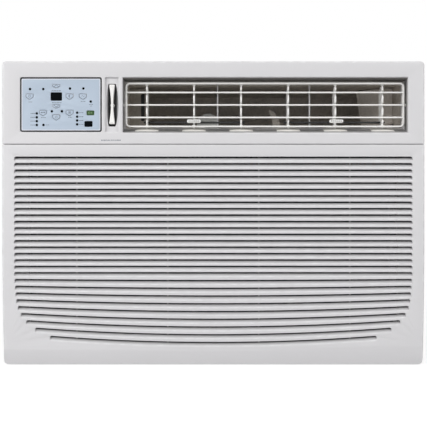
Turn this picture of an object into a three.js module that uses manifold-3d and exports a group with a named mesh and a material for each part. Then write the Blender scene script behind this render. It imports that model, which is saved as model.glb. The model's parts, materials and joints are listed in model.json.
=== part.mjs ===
// Window air conditioner with a slide-out chassis in a sheet steel cabinet.
// Millimetres. +X is right as seen from the room, the front faces -Y and +Z is up.
// The cabinet stands on z = 0 and the whole is centred on X and Y.
import * as THREE from 'three';
import { mergeVertices } from 'three/addons/utils/BufferGeometryUtils.js';
import Module from 'manifold-3d';

const wasm = await Module();
wasm.setup();

// ---------------------------------------------------------------- sizes

// Overall
const WIDTH = 660; // front panel, side to side
const HEIGHT = 475; // sill to the top of the front panel
const DEPTH = 690; // front face to the rear edge of the cabinet
const CLEAR = 0.4; // between fixed neighbours
const RUNNING = 1.5; // round pieces that turn or slide
const OVER = 1; // how far a cutter runs past what it cuts
const SINK = 0.5; // how far a piece runs into the one it is moulded or welded to

// Front mouldings
const SHELL = 2.6; // wall of the plastic mouldings
const FRONT_DEPTH = 60; // face to rear rim
const FRONT_FLOOR = 1.5; // lower edge of the front above the sill
const EDGE = 3; // rounding of the front's outer edge
const TOP_CORNER = 6; // outline radius of the upper corners
const BOTTOM_CORNER = 5; // outline radius of the lower corners
const TAPER = 3; // how far each side draws in at the bottom
const TAPER_FROM = 200; // height below which the sides draw in
const BAND = 129.4; // upper band with the controls and the air outlet
const SEAM = 1.2; // gap between the band and the intake grille
const OPENING_HEAD = 25.2; // band's top edge to the openings in it
const OPENING_FOOT = 19; // seam to the openings in the band

// Openings along the band, from left to right
const PANEL_MARGIN = 28.5; // side of the front to the control pocket
const PANEL_WIDTH = 127.3;
const WELL_SPACE = 5.2; // control pocket to the vent handle's recess
const WELL_WIDTH = 21.1;
const OUTLET_SPACE = 6.2; // vent handle's recess to the air outlet
const OUTLET_MARGIN = 25.7; // air outlet to the other side of the front

// Control panel
const PANEL_DROP = 0.5; // overlay's face behind the front face
const PANEL_THICK = 2.8;
const PANEL_GAP = 1.2; // dark gap round the overlay
const PANEL_CORNER = 3;
const LEDGE = 5; // ledge that carries the overlay
const KEY_MARGIN = 13.6; // overlay's left edge to the first column of keys
const KEY_PITCH = 20.8; // columns of keys
const KEY_COLUMNS = 5;
const KEY_WIDTH = 12;
const KEY_HEIGHT = 9;
const CHEVRON_HEIGHT = 6.4; // the up and down keys
const KEY_TRAVEL = 0.6;
const KEY_FIT = 0.3; // gap round a key in the overlay
const KEY_PROUD = 0.2; // key's cap behind the front face
const KEY_STEM = 1.6; // radius of the stem behind a key
const ROW_UP = 12.4; // overlay's top edge to the up key
const ROW_DISPLAY = 28.8; // to the display and the keys beside it
const ROW_DOWN = 44; // to the down key
const ROW_LOW = 54.4; // to the mode and fan keys
const ROW_POWER = 61.2; // to the power key
const ROW_EYE = 71.6; // to the remote control's eye
const DISPLAY_WIDTH = 17.4;
const DISPLAY_HEIGHT = 12.6;
const LIGHT_WIDTH = 11.6;
const LIGHT_HEIGHT = 7;
const LIGHT_MARGIN = 16.5; // overlay's right edge to the status light
const EYE_WIDTH = 12.2;
const EYE_HEIGHT = 8.6;
const EYE_MARGIN = 19.5; // overlay's right edge to the remote control's eye
const BOARD_THICK = 1.6; // circuit boards
const BOARD_DROP = 12; // display board behind the overlay

// Vent handle
const WELL_STEP = 4; // depth of the recess round the handle
const WELL_DEPTH = 17; // depth of the finger well
const WELL_HALF = 8.6; // half width of the finger well
const HANDLE_LENGTH = 63;
const HANDLE_END = 9; // handle's width at its ends
const HANDLE_WAIST = 3; // handle's width at its middle
const HANDLE_THICK = 12;
const HANDLE_SETBACK = 1.5; // handle's grip behind the front face
const ROD_RADIUS = 2;
const ROD_GRIP = 6; // how far the rod reaches into the handle
const ROD_BOSS = 2.4; // wall of the handle's boss round the rod

// Vent door in the bulkhead, worked by the handle's rod
const VENT_WIDTH = 44;
const VENT_HEIGHT = 58;
const VENT_LAP = 6; // door's lap over its opening
const VENT_SHEET = 2;
const VENT_LEVER = 52; // door's hinge to the rod
const VENT_LUG = 13; // how far the door's lug stands forward of the hinge
const VENT_LUG_EDGE = 3.5; // lug's wall in front of the slot for the rod's turned end
const VENT_LUG_DROP = 10; // lug below the rod
const VENT_LUG_THICK = 3;
const VENT_LUG_WALL = 1.5; // lug's wall beside the slot
const VENT_BARREL = 3.2;
const VENT_PIN = 1.5;
const VENT_STAND = 1; // hinge pin in front of the door's plate
const VENT_PLAY = 1; // round the rod's end in the door's lug
const VENT_CREEP = 7; // how far the rod's end runs along the lug as the door opens
const VENT_LUG_RISE = 19; // bulkhead's hinge lugs above and below the rod
const BRACKET = 4; // half width of the bulkhead's hinge lugs
const BRACKET_REACH = 2; // their half height

// Outlet louvre
const LOUVER_BACK = 19; // tilt axis behind the front face
const LOUVER_SIDE = 3.2; // gap beside the louvre frame
const LOUVER_GAP = 7.4; // mean gap above and below the louvre frame
const LOUVER_LIFT = 1.2; // louvre's tilt axis above the middle of the opening
const LOUVER_DEPTH = 11;
const FRAME_BAR = 3.4; // outer bar of the louvre frame
const LOUVER_CORNER = 7;
const BLADE = 2.3; // thickness of a horizontal blade
const BLADE_PITCH = 19.7;
const BLADES = 3;
const PIVOT_RADIUS = 2.4;
const PIVOT_PLAY = 0.5;
const OUTLET_RISE = 9; // rise of the outlet's sloping floor
const BRACES = 2; // upright braces across the outlet, behind the vanes
const BRACE_THICK = 2;
const BRACE_DEPTH = 8;
const VANES = 6;
const VANE_MARGIN = 33.4; // louvre frame's side to the first vane
const VANE_THICK = 2.6;
const VANE_REACH = 25; // vane's rear edge behind its pins
const VANE_PIN = 1.3;
const VANE_PIN_LENGTH = 8.4; // from the louvre frame's bar into the vane
const VANE_PLAY = 0.5; // round the pins, and between a vane and the bars
const VANE_SWING = 30; // degrees each way
const LOBE = 4; // lobes of the vane that stand between the blades
const LOBE_GAP = 1; // lobe to the blades
const LINK_ARM = 16; // link pegs behind the vane pins
const PEG_RADIUS = 1.5;
const PEG_PLAY = 0.6;
const PEG_HEIGHT = 7.5;
const PEG_FOOT = 2.5; // peg below the link
const LINK_SPACE = 1.5; // link to the vane's window above and below
const LINK_THICK = 2.4;
const LINK_LIFT = 5; // link above the louvre frame's lower bar
const LINK_WIDTH = 9;
const TAB_WIDTH = 21.7;
const TAB_HEIGHT = 5.4;
const TAB_THICK = 3.4;
const TAB_STAND = 3; // tab in front of the louvre frame
const TAB_CORNER = 2;
const TAB_STEM = 3.6; // height of the stem behind a tab

// Intake grille
const GRILLE_THICK = 7; // slatted area, face to back
const SLOT_DROP = 20.7; // seam to the first slot
const SLOT_FOOT = 35.6; // sill to the last slot, at the middle
const SLOT_PITCH = 10.02; // straight slots
const BOW_SLOTS = 9; // bowed slots at the bottom
const BOW_PITCH = 12.1;
const BOW_SAG = 1.6; // how much more each bowed slot hangs than the one above
const SLOT_MARGIN = 19; // side of the front to the ends of the straight slots
const SLOT_SHORTEN = 56; // how much shorter the last bowed slot is at each end
const SLOT_EVEN = 0.1; // share of that shortening spread evenly over the bowed slots
const SLOT_CURVE = 5; // power that keeps the rest of it to the lowest slots
const SLOT_GAP = 2.3; // height of the open gap
const SLOT_RECESS = 5; // depth of the sloping upper face of a slat
const NOSE = 3.4; // height of a slat's front edge
const FIELD_EDGE = 6; // slatted area beyond the ends of the slots
const RIB_WIDTH = 2.2;
const RIB_DEPTH = 5;
const RIBS = 4;
const RIB_PITCH = 143;
const ROLL_HEIGHT = 34; // lower edge of the front curves back below this height
const ROLL_DEPTH = 6;
const HINGE_RADIUS = 3;
const HINGE_RISE = 6.5; // hinge axis above the front's lower edge
const HINGE_BACK = 6; // hinge axis in front of the ring
const HINGE_WALL = 1.5; // wall round a hinge peg's root
const CHEEK_LENGTH = 22; // foot of the cheek that carries a hinge peg
const EAR_THICK = 4;
const EAR_WALL = 6; // half height of a hinge ear
const EAR_INSET = 34; // side of the front to the hinge ears
const RING_SETBACK = 40; // face to the ring behind the grille
const INTAKE_SIDE = 34; // side of the front to the intake opening
const INTAKE_FOOT = 20; // front's lower edge to the intake opening
const INTAKE_HEAD = 8; // seam to the intake opening

// Cord gland in the left side wall
const GLAND_RADIUS = 6;
const GLAND_FLANGE = 8;
const GLAND_BORE = 4;
const GLAND_LENGTH = 12;
const GLAND_Z = 60;

// Filter
const FILTER_MARGIN = 8; // intake opening's side to the filter
const FILTER_FOOT = 4; // intake opening's foot to the filter
const FILTER_HEAD = 12; // intake opening's head to the filter
const FILTER_BORDER = 10;
const FILTER_THICK = 5;
const FILTER_MESH = 0.8;
const FILTER_BACK = 0.6; // mesh in front of the filter frame's rear face
const FILTER_BARS = 3;
const FILTER_BAR = 4;
const HOOK_WIDTH = 16;
const HOOK_LIP = 4; // how far a hook laps the filter
const HOOK_THICK = 1.5;

// Cabinet
const SHEET = 1.2;
const CABINET_SIDE = 8; // cabinet's side inside the front's side
const RUNNER = 5; // height of the rails that the chassis slides on
const RUNNER_WIDTH = 22;
const RUNNER_INSET = 70; // cabinet's side to a runner's middle
const FLANGE = 28; // turned-up edge of the cabinet's base
const SLOT_RISE = 0.55; // middle of the side slots, as a share of the cabinet's height
const SLOT_SPACE = 14; // between the two columns of slots
const LOUVER_SLOT_LENGTH = 62; // pressed slots in the cabinet's sides and top
const LOUVER_SLOT_HEIGHT = 6;
const LOUVER_SLOT_PITCH = 26;
const LOUVER_SLOT_ROWS = 8;
const TOP_SLOT_ROWS = 5;

// Chassis
const PAN_SIDE = 3; // pan to the cabinet's base, each side
const PAN_RIM = 26;
const PAN_SHEET = 1.5;
const PAN_BACK = 2; // pan to the rear guard
const DRAIN_RADIUS = 6;
const DRAIN_INSET = 26; // pan's rear edge to the drain hole
const SHAFT_HOLE = 8; // hole in a sheet round the fan shaft
const PIPE_HOLE = 3; // hole in the bulkhead round a pipe
const INDOOR_DEPTH = 208; // front ring's rear to the bulkhead
const BULKHEAD_SHEET = 1.5;
const COIL_DEPTH = 42;
const COIL_SIDE = 45; // pan's side to the evaporator
const COIL_HEAD = 12; // evaporator to the outlet's sleeve
const CONDENSER_SIDE = 32; // pan's side to the condenser
const CONDENSER_HEAD = 6; // condenser to the top of the chassis
const TRAY_HEIGHT = 20;
const TRAY_WALL = 1.8;
const TRAY_MARGIN = 5; // tray beyond the evaporator's ends
const TRAY_FRONT = 3; // tray in front of the evaporator
const TRAY_LIFT = 6; // evaporator above the tray's floor
const TRAY_SUPPORT = 12;
const SCROLL_WALL = 3;
const SCROLL_CLEAR = 22; // blower wheel to the scroll at its cut-off
const SCROLL_WIDEN = 42; // how far the scroll opens out round the wheel
const SCROLL_BACK = 14; // blower wheel to the scroll's rear wall
const ORIFICE_THICK = 3;
const ORIFICE_LAP = 4; // inlet's edge inside the wheel's blades
const ORIFICE_LIP = 2; // wall of the lip round the inlet
const ORIFICE_SPACE = 10; // orifice plate to the blower wheel
const SCROLL_GAP = 6; // evaporator to the blower's orifice
const PLENUM_HEAD = 2; // outlet's top to the plenum's ceiling
const WHEEL_RADIUS = 118;
const WHEEL_INNER = 98;
const WHEEL_BLADES = 24;
const WHEEL_DISC = 2.5;
const WHEEL_RING = 5; // width of the ring at the wheel's open end
const WHEEL_HUB = 8; // wall of the hubs round the shaft
const WHEEL_HUB_LENGTH = 34;
const BLADE_SHEET = 1.6; // blades of the blower wheel
const BLADE_LEAN = 25; // degrees
const FAN_RADIUS = 172;
const FAN_BLADES = 5;
const FAN_HUB = 34;
const FAN_WIDTH = 36;
const FAN_SHEET = 2;
const FAN_CAMBER = 5;
const FAN_ROOT_CHORD = 52;
const FAN_TIP_CHORD = 114;
const FAN_HUB_INSET = 4; // hub inside the fan's width at each end
const SLINGER = 3; // slinger ring's wall
const FAN_X = 40; // fan axis right of the middle
const FAN_FLOOR = 6; // slinger ring above the pan
const SHAFT_RADIUS = 6;
const SHAFT_FRONT = 38; // shaft's front end before the blower wheel's disc
const SHAFT_END = 8; // shaft's rear end behind the fan
const MOTOR_RADIUS = 62;
const MOTOR_LENGTH = 110;
const MOTOR_GAP = 24; // bulkhead to the motor
const MOTOR_SHOULDER = 10;
const MOTOR_BOSS = 8; // bearing bosses at the motor's ends
const MOUNT_WIDTH = 44;
const MOUNT_FOOT = 23; // foot of the motor's mount beyond the motor
const MOUNT_LEG = 6;
const MOUNT_SHEET = 3;
const SHROUD_WALL = 2;
const SHROUD_DEPTH = 64;
const SHROUD_LIP = 16; // ring in front of the shroud
const FAN_SINK = 6; // how far the fan reaches into the shroud
const FAN_TIP = 5; // fan to the shroud's ring
const GUARD_GAP = 30; // condenser to the rear guard
const GUARD_THICK = 3;
const GUARD_BAR = 3;
const GUARD_ROWS = 6;
const GUARD_COLUMNS = 4;
const GUARD_INSET = 5; // guard in front of the cabinet's rear edge
const GUARD_EDGE = 8;
const GUARD_CORNER = 12;
const GUARD_POST = 12;
const GUARD_POST_INSET = 14;
const COMPRESSOR_RADIUS = 60;
const COMPRESSOR_HEIGHT = 250;
const COMPRESSOR_SIDE = 141.2; // pan's side to the compressor's axis
const COMPRESSOR_FRONT = 6; // compressor's axis in front of the middle of its space
const FOOT_HEIGHT = 20;
const FOOT_RADIUS = 13;
const FOOT_SPACE = 14; // compressor's shell to the axis of a foot
const FOOT_SHEET = 3; // plate between the compressor and its feet
const COVER_RADIUS = 12; // terminal cover
const COVER_HEIGHT = 20;
const ACCUMULATOR_RADIUS = 26;
const ACCUMULATOR_HEIGHT = 170;
const ACCUMULATOR_SPACE = 8; // compressor to the accumulator
const ACCUMULATOR_LIFT = 50; // accumulator above the compressor's plate
const STRAP_LIFT = 60; // strap above the accumulator's foot
const STRAP_WIDTH = 20;
const STRAP_THICK = 3;
const PIPE_RADIUS = 5; // suction pipe
const DISCHARGE_RADIUS = 4;
const LIQUID_RADIUS = 3.5;
const PIPE_SIDE = 18; // evaporator's end to the pipes beside it
const SUCTION_Z = 120;
const LIQUID_Z = 80;
const BRAZE = 0.6; // a pipe's end to the vessel it is brazed to

// Control box and top brace
const BOX_SHEET = 1.5;
const BOX_DEPTH = 130;
const BOX_SIDE = 4; // pan's side, and what is above and below, to the control box
const BOX_SPACE = 8; // control box to the vent handle's recess
const BOX_BOARD = 30; // front of the control box to its board
const BOX_STRIP = 20; // box's side to the strip that hangs it from the bulkhead
const CAPACITOR_RADIUS = 21;
const CAPACITOR_HEIGHT = 60;
const TOP_BRACE_WIDTH = 40;
const TOP_BRACE_TAIL = 16;
const TOP_BRACE_LAP = 30; // brace on top of the shroud

// ---------------------------------------------------------------- places worked out from the sizes

const FACE_Y = -DEPTH / 2;
const BACK_Y = DEPTH / 2;
const RIM_Y = FACE_Y + FRONT_DEPTH; // rear rim of the front
const RING_Y = FACE_Y + RING_SETBACK; // ring behind the intake grille
const SEAM_Z = HEIGHT - BAND;
const OPEN_TOP_Z = HEIGHT - OPENING_HEAD;
const OPEN_FOOT_Z = SEAM_Z + OPENING_FOOT;
const OPEN_Z = (OPEN_TOP_Z + OPEN_FOOT_Z) / 2;

const PANEL_X0 = -WIDTH / 2 + PANEL_MARGIN;
const PANEL_X1 = PANEL_X0 + PANEL_WIDTH;
const WELL_X0 = PANEL_X1 + WELL_SPACE;
const WELL_X1 = WELL_X0 + WELL_WIDTH;
const WELL_X = (WELL_X0 + WELL_X1) / 2;
const OUTLET_X0 = WELL_X1 + OUTLET_SPACE;
const OUTLET_X1 = WIDTH / 2 - OUTLET_MARGIN;
const OUTLET_X = (OUTLET_X0 + OUTLET_X1) / 2;

const BOARD_Y = FACE_Y + PANEL_DROP + PANEL_THICK + BOARD_DROP;

const LOUVER_HALF_W = (OUTLET_X1 - OUTLET_X0) / 2 - LOUVER_SIDE;
const LOUVER_HALF_H = (OPEN_TOP_Z - OPEN_FOOT_Z) / 2 - LOUVER_GAP;
const VANE_PITCH = (2 * (LOUVER_HALF_W - VANE_MARGIN)) / (VANES - 1);
const LOUVER_Y = FACE_Y + LOUVER_BACK;
const LOUVER_Z = OPEN_Z + LOUVER_LIFT;
const VANE_Y = LOUVER_Y + LOUVER_DEPTH / 2 - VANE_PIN - 1;
const LINK_Y = VANE_Y + LINK_ARM;
const LINK_Z = LOUVER_Z - LOUVER_HALF_H + FRAME_BAR + LINK_LIFT;

const HINGE_Y = RING_Y - HINGE_BACK;
const HINGE_Z = FRONT_FLOOR + HINGE_RISE;
const EAR_X = WIDTH / 2 - EAR_INSET;

const GLAND_Y = (RING_Y + SHELL + RIM_Y) / 2;

const CABINET_HALF = WIDTH / 2 - CABINET_SIDE;
const CABINET_Z1 = OPEN_TOP_Z + PLENUM_HEAD + SCROLL_WALL + PAN_SIDE + SHEET;
const CABINET_Y0 = RIM_Y + CLEAR;
const PAN_Z0 = SHEET + RUNNER + CLEAR;
const PAN_FLOOR_Z = PAN_Z0 + PAN_SHEET;
const PAN_HALF = CABINET_HALF - 2 * SHEET - CLEAR - PAN_SIDE;
const PAN_Y0 = CABINET_Y0;
const PAN_Y1 = BACK_Y - GUARD_INSET - GUARD_THICK - PAN_BACK;
const DECK_Z = PAN_FLOOR_Z + CLEAR; // what stands in the pan
const ROOF_Z = CABINET_Z1 - SHEET - PAN_SIDE; // highest the chassis reaches

const BULKHEAD_Y = RIM_Y + INDOOR_DEPTH;
const COIL_Y0 = PAN_Y0 + PAN_SHEET + CLEAR + TRAY_WALL + TRAY_FRONT;
const COIL_Y1 = COIL_Y0 + COIL_DEPTH;
const COIL_HALF = PAN_HALF - COIL_SIDE;
const TRAY_Z1 = DECK_Z + TRAY_HEIGHT;
const COIL_Z0 = DECK_Z + TRAY_WALL + TRAY_LIFT;
const COIL_Z1 = OPEN_FOOT_Z - SHELL - CLEAR - COIL_HEAD;

const FAN_Z = PAN_FLOOR_Z + FAN_FLOOR + SLINGER + FAN_RADIUS;
const SCROLL_Y0 = COIL_Y1 + SCROLL_GAP;
const SCROLL_Y1 = BULKHEAD_Y - CLEAR;
const PLENUM_Z1 = OPEN_TOP_Z + PLENUM_HEAD;
const WHEEL_Y0 = SCROLL_Y0 + ORIFICE_THICK + ORIFICE_SPACE;
const WHEEL_Y1 = SCROLL_Y1 - SCROLL_WALL - SCROLL_BACK;

const GUARD_Y1 = BACK_Y - GUARD_INSET;
const GUARD_Y0 = GUARD_Y1 - GUARD_THICK;
const CONDENSER_Y1 = GUARD_Y0 - GUARD_GAP;
const CONDENSER_Y0 = CONDENSER_Y1 - COIL_DEPTH;
const CONDENSER_HALF = PAN_HALF - CONDENSER_SIDE;
const CONDENSER_Z1 = ROOF_Z - CONDENSER_HEAD;
const SHROUD_Y1 = CONDENSER_Y0 - CLEAR;
const SHROUD_Y0 = SHROUD_Y1 - SHROUD_DEPTH;
const FAN_Y1 = SHROUD_Y0 + FAN_SINK;
const FAN_Y0 = FAN_Y1 - FAN_WIDTH;
const MOTOR_Y0 = BULKHEAD_Y + BULKHEAD_SHEET + MOTOR_GAP;
const MOTOR_Y1 = MOTOR_Y0 + MOTOR_LENGTH;

const COMPRESSOR_X = -PAN_HALF + COMPRESSOR_SIDE;
const COMPRESSOR_Y = (BULKHEAD_Y + SHROUD_Y0) / 2 - COMPRESSOR_FRONT;
const COMPRESSOR_Z0 = DECK_Z + FOOT_HEIGHT + CLEAR;
const COMPRESSOR_Z1 = COMPRESSOR_Z0 + COMPRESSOR_HEIGHT;
const FOOT_CIRCLE = COMPRESSOR_RADIUS + FOOT_SPACE;
const ACCUMULATOR_X = COMPRESSOR_X - COMPRESSOR_RADIUS - ACCUMULATOR_RADIUS - ACCUMULATOR_SPACE;
const ACCUMULATOR_Z0 = COMPRESSOR_Z0 + ACCUMULATOR_LIFT;
const ACCUMULATOR_Z1 = ACCUMULATOR_Z0 + ACCUMULATOR_HEIGHT;
const PIPE_X = -COIL_HALF - PIPE_SIDE;

const BOX_X0 = -PAN_HALF + BOX_SIDE;
const BOX_X1 = WELL_X0 - BOX_SPACE;
const BOX_Y0 = RIM_Y + CLEAR;
const BOX_Y1 = BOX_Y0 + BOX_DEPTH;
const BOX_Z0 = COIL_Z1 + BOX_SIDE;
const BOX_Z1 = ROOF_Z - BOX_SIDE;

const FILTER_Y0 = FACE_Y + GRILLE_THICK + RIB_DEPTH + CLEAR;
const FILTER_Y1 = FILTER_Y0 + FILTER_THICK;
const FILTER_HALF = WIDTH / 2 - INTAKE_SIDE - FILTER_MARGIN;
const FILTER_Z0 = FRONT_FLOOR + INTAKE_FOOT + FILTER_FOOT;
const FILTER_Z1 = SEAM_Z - INTAKE_HEAD - FILTER_HEAD;

const HANDLE_Y0 = FACE_Y + HANDLE_SETBACK;
const HANDLE_Y1 = HANDLE_Y0 + HANDLE_THICK;
const VENT_X1 = OUTLET_X0 - SCROLL_WALL - VENT_LAP - RUNNING; // free edge of the vent opening
const VENT_X0 = VENT_X1 - VENT_WIDTH;
const VENT_Y1 = BULKHEAD_Y - CLEAR;
const VENT_HINGE_X = WELL_X - VENT_LEVER;
const VENT_HINGE_Y = VENT_Y1 - VENT_SHEET - VENT_PIN - VENT_STAND;
const VENT_PIN_Y = VENT_HINGE_Y - VENT_LUG + VENT_LUG_EDGE + VENT_PIN;

// ---------------------------------------------------------------- finishes

function finish(color, roughness, metalness) {
  return new THREE.MeshStandardMaterial({ color, roughness, metalness });
}
const FINISH = {
  front: () => finish(0xd9d8db, 0.5, 0),
  louver: () => finish(0xf0eeeb, 0.45, 0),
  overlay: () => finish(0xbac4d6, 0.4, 0),
  black: () => finish(0x0c1012, 0.15, 0),
  green: () => finish(0x4f7a3a, 0.4, 0),
  board: () => finish(0x2f5d3a, 0.6, 0),
  cabinet: () => finish(0xcfcfcc, 0.5, 0.1),
  galvanised: () => finish(0xa9adb0, 0.45, 0.8),
  aluminium: () => finish(0xc4c8cc, 0.4, 0.9),
  steel: () => finish(0x9a9da1, 0.35, 0.9),
  copper: () => finish(0xb87348, 0.35, 0.9),
  foam: () => finish(0xe6e4de, 0.9, 0),
  ductFoam: () => finish(0xbdb5ad, 0.9, 0),
  darkPlastic: () => finish(0x2b2c2e, 0.6, 0),
  blackPaint: () => finish(0x1b1c1e, 0.45, 0.3),
  rubber: () => finish(0x1c1c1c, 0.9, 0),
  mesh: () => finish(0x8c9096, 0.8, 0),
};

// ---------------------------------------------------------------- solids

function solid(geometry) {
  const bare = geometry.clone();
  bare.deleteAttribute('normal');
  bare.deleteAttribute('uv');
  const merged = mergeVertices(bare, 1e-4);
  const vertProperties = new Float32Array(merged.attributes.position.array);
  const triVerts = withoutSlivers(merged.index.array);
  return new wasm.Manifold(new wasm.Mesh({ numProp: 3, vertProperties, triVerts }));
}

// A turned profile's poles leave triangles with two corners in one place.
function withoutSlivers(index) {
  const kept = [];
  for (let i = 0; i < index.length; i += 3) {
    const [a, b, c] = index.slice(i, i + 3);
    if (a !== b && b !== c && c !== a) kept.push(a, b, c);
  }
  return new Uint32Array(kept);
}

function geometryOf(body) {
  const mesh = body.getMesh();
  const geometry = new THREE.BufferGeometry();
  geometry.setAttribute('position', new THREE.BufferAttribute(new Float32Array(mesh.vertProperties), 3));
  geometry.setIndex(new THREE.BufferAttribute(new Uint32Array(mesh.triVerts), 1));
  geometry.computeVertexNormals();
  return geometry;
}

function join(bodies) {
  return bodies.reduce((whole, body) => whole.add(body));
}

function box(x0, x1, y0, y1, z0, z1) {
  const geometry = new THREE.BoxGeometry(x1 - x0, y1 - y0, z1 - z0);
  return solid(geometry.translate((x0 + x1) / 2, (y0 + y1) / 2, (z0 + z1) / 2));
}

// The axis that an outline is drawn across, with the world directions of its two coordinates.
const ALONG = {
  x: new THREE.Matrix4().set(0, 0, 1, 0, 1, 0, 0, 0, 0, 1, 0, 0, 0, 0, 0, 1), // drawn in y, z
  y: new THREE.Matrix4().set(1, 0, 0, 0, 0, 0, -1, 0, 0, 1, 0, 0, 0, 0, 0, 1), // drawn in x, z
  z: new THREE.Matrix4(), // drawn in x, y
};

function prismGeometry(axis, shape, from, to, steps = 1) {
  const geometry = new THREE.ExtrudeGeometry(shape, {
    depth: to - from,
    bevelEnabled: false,
    steps,
    curveSegments: 6,
  });
  geometry.translate(0, 0, axis === 'y' ? -to : from);
  return geometry.applyMatrix4(ALONG[axis]);
}

function prism(axis, shape, from, to) {
  return solid(prismGeometry(axis, shape, from, to));
}

function polygon(points) {
  return new THREE.Shape(points.map(([a, b]) => new THREE.Vector2(a, b)));
}

function arc(cx, cy, radius, fromDeg, toDeg, steps) {
  const points = [];
  for (let i = 0; i <= steps; i++) {
    const angle = THREE.MathUtils.degToRad(fromDeg + ((toDeg - fromDeg) * i) / steps);
    points.push([cx + radius * Math.cos(angle), cy + radius * Math.sin(angle)]);
  }
  return points;
}

function roundedRectangle(x0, x1, y0, y1, radius) {
  return polygon([
    ...arc(x1 - radius, y0 + radius, radius, -90, 0, 3),
    ...arc(x1 - radius, y1 - radius, radius, 0, 90, 3),
    ...arc(x0 + radius, y1 - radius, radius, 90, 180, 3),
    ...arc(x0 + radius, y0 + radius, radius, 180, 270, 3),
  ]);
}

function disc(cx, cy, radius, sides = 24) {
  return polygon(arc(cx, cy, radius, 0, 360 - 360 / sides, sides - 1));
}

// A round bar along an axis; centre is given by the two other coordinates in X, Y, Z order.
function rod(axis, a, b, radius, from, to, sides = 12) {
  return prism(axis, disc(a, b, radius, sides), from, to);
}

// A turned piece about a vertical or a fore-and-aft axis: profile of [radius, height] points.
function turned(profile, x, y, z, alongY = false, sides = 20) {
  const geometry = new THREE.LatheGeometry(profile.map(([r, h]) => new THREE.Vector2(r, h)), sides);
  if (!alongY) geometry.rotateX(Math.PI / 2);
  let body = solid(geometry.translate(x, y, z));
  if (body.volume() < 0) body = solid(flipped(geometry));
  return body;
}

function flipped(geometry) {
  const index = geometry.index.array;
  for (let i = 0; i < index.length; i += 3) {
    const keep = index[i];
    index[i] = index[i + 1];
    index[i + 1] = keep;
  }
  return geometry;
}

// A bent tube or wire through the given points.
function tube(points, radius, steps, sides = 8) {
  const path = new THREE.CatmullRomCurve3(points.map(([x, y, z]) => new THREE.Vector3(x, y, z)));
  path.curveType = 'centripetal';
  const geometry = new THREE.ExtrudeGeometry(disc(0, 0, radius, sides), {
    steps,
    bevelEnabled: false,
    extrudePath: path,
  });
  return solid(geometry);
}

const part = new THREE.Group();
function node(name, body, material) {
  const mesh = new THREE.Mesh(body.isBufferGeometry ? body : geometryOf(body), material());
  mesh.name = name;
  part.add(mesh);
}

// ---------------------------------------------------------------- front mouldings

// The sides draw in gently towards the bottom.
function sideX(z) {
  const low = Math.max(0, 1 - z / TAPER_FROM);
  return WIDTH / 2 - TAPER * low * low;
}

// Outline of the whole front in x, z, drawn inside itself by inset.
function frontOutline(inset) {
  const low = FRONT_FLOOR + inset;
  const foot = Math.max(BOTTOM_CORNER - inset, 1);
  const head = Math.max(TOP_CORNER - inset, 1);
  const right = arc(sideX(low + foot) - inset - foot, low + foot, foot, -90, 0, 4);
  const steps = 5;
  for (let i = 1; i <= steps; i++) {
    const z = low + foot + ((TAPER_FROM - low - foot) * i) / steps;
    right.push([sideX(z) - inset, z]);
  }
  right.push(...arc(WIDTH / 2 - inset - head, HEIGHT - inset - head, head, 0, 90, 3));
  const left = right.map(([x, z]) => [-x, z]).reverse();
  return polygon([...right, ...left]);
}

// The front's whole body, its front edge rounded in small steps.
function frontBody(y1) {
  const steps = 3;
  const layers = [];
  for (let i = 0; i <= steps; i++) {
    const angle = (i / steps) * (Math.PI / 2);
    const inset = EDGE * (1 - Math.sin(angle));
    layers.push(prism('y', frontOutline(inset), FACE_Y + EDGE * (1 - Math.cos(angle)), y1));
  }
  return wasm.Manifold.hull(layers);
}

function frontFrame() {
  const bandZ = SEAM_Z + SEAM / 2;
  let frame = frontBody(RIM_Y).subtract(box(-WIDTH, WIDTH, FACE_Y - OVER, RING_Y, -OVER, bandZ));
  const inner = prism('y', frontOutline(SHELL), FACE_Y + SHELL, RIM_Y + OVER);
  const behindBand = inner.intersect(box(-WIDTH, WIDTH, FACE_Y, RIM_Y + OVER, bandZ + SHELL, HEIGHT));
  const behindRing = inner.intersect(box(-WIDTH, WIDTH, RING_Y + SHELL, RIM_Y + OVER, 0, HEIGHT));
  frame = frame.subtract(behindBand.add(behindRing)).subtract(intakeOpening());
  frame = frame.add(outletSleeve(SHELL)).subtract(outletSpace());
  frame = frame.add(controlPocket()).subtract(controlSpace());
  frame = frame.add(handleWell()).subtract(handleSpace());
  frame = frame.subtract(louverPivots(PIVOT_RADIUS + PIVOT_PLAY));
  frame = join([frame, ...outletBraces(), ...boardBosses(), hingeEar(-1), hingeEar(1)]);
  return frame.subtract(hingeBore()).subtract(glandBore());
}

function intakeOpening() {
  const side = WIDTH / 2 - INTAKE_SIDE;
  const [y0, y1] = [RING_Y - OVER, RING_Y + SHELL + OVER];
  return box(-side, side, y0, y1, FRONT_FLOOR + INTAKE_FOOT, SEAM_Z - INTAKE_HEAD);
}

// The air outlet: a sleeve from the face to the rear rim, with a floor that slopes up behind the face.
function outletSleeve(wall) {
  return box(OUTLET_X0 - wall, OUTLET_X1 + wall, FACE_Y, RIM_Y, OPEN_FOOT_Z - wall, OPEN_TOP_Z + wall);
}

function outletSpace() {
  const section = [
    [FACE_Y - OVER, OPEN_FOOT_Z],
    [FACE_Y + SHELL, OPEN_FOOT_Z],
    [LOUVER_Y + LOUVER_BACK, OPEN_FOOT_Z + OUTLET_RISE],
    [RIM_Y + OVER, OPEN_FOOT_Z + OUTLET_RISE],
    [RIM_Y + OVER, OPEN_TOP_Z],
    [FACE_Y - OVER, OPEN_TOP_Z],
  ];
  return prism('x', polygon(section), OUTLET_X0, OUTLET_X1);
}

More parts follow.
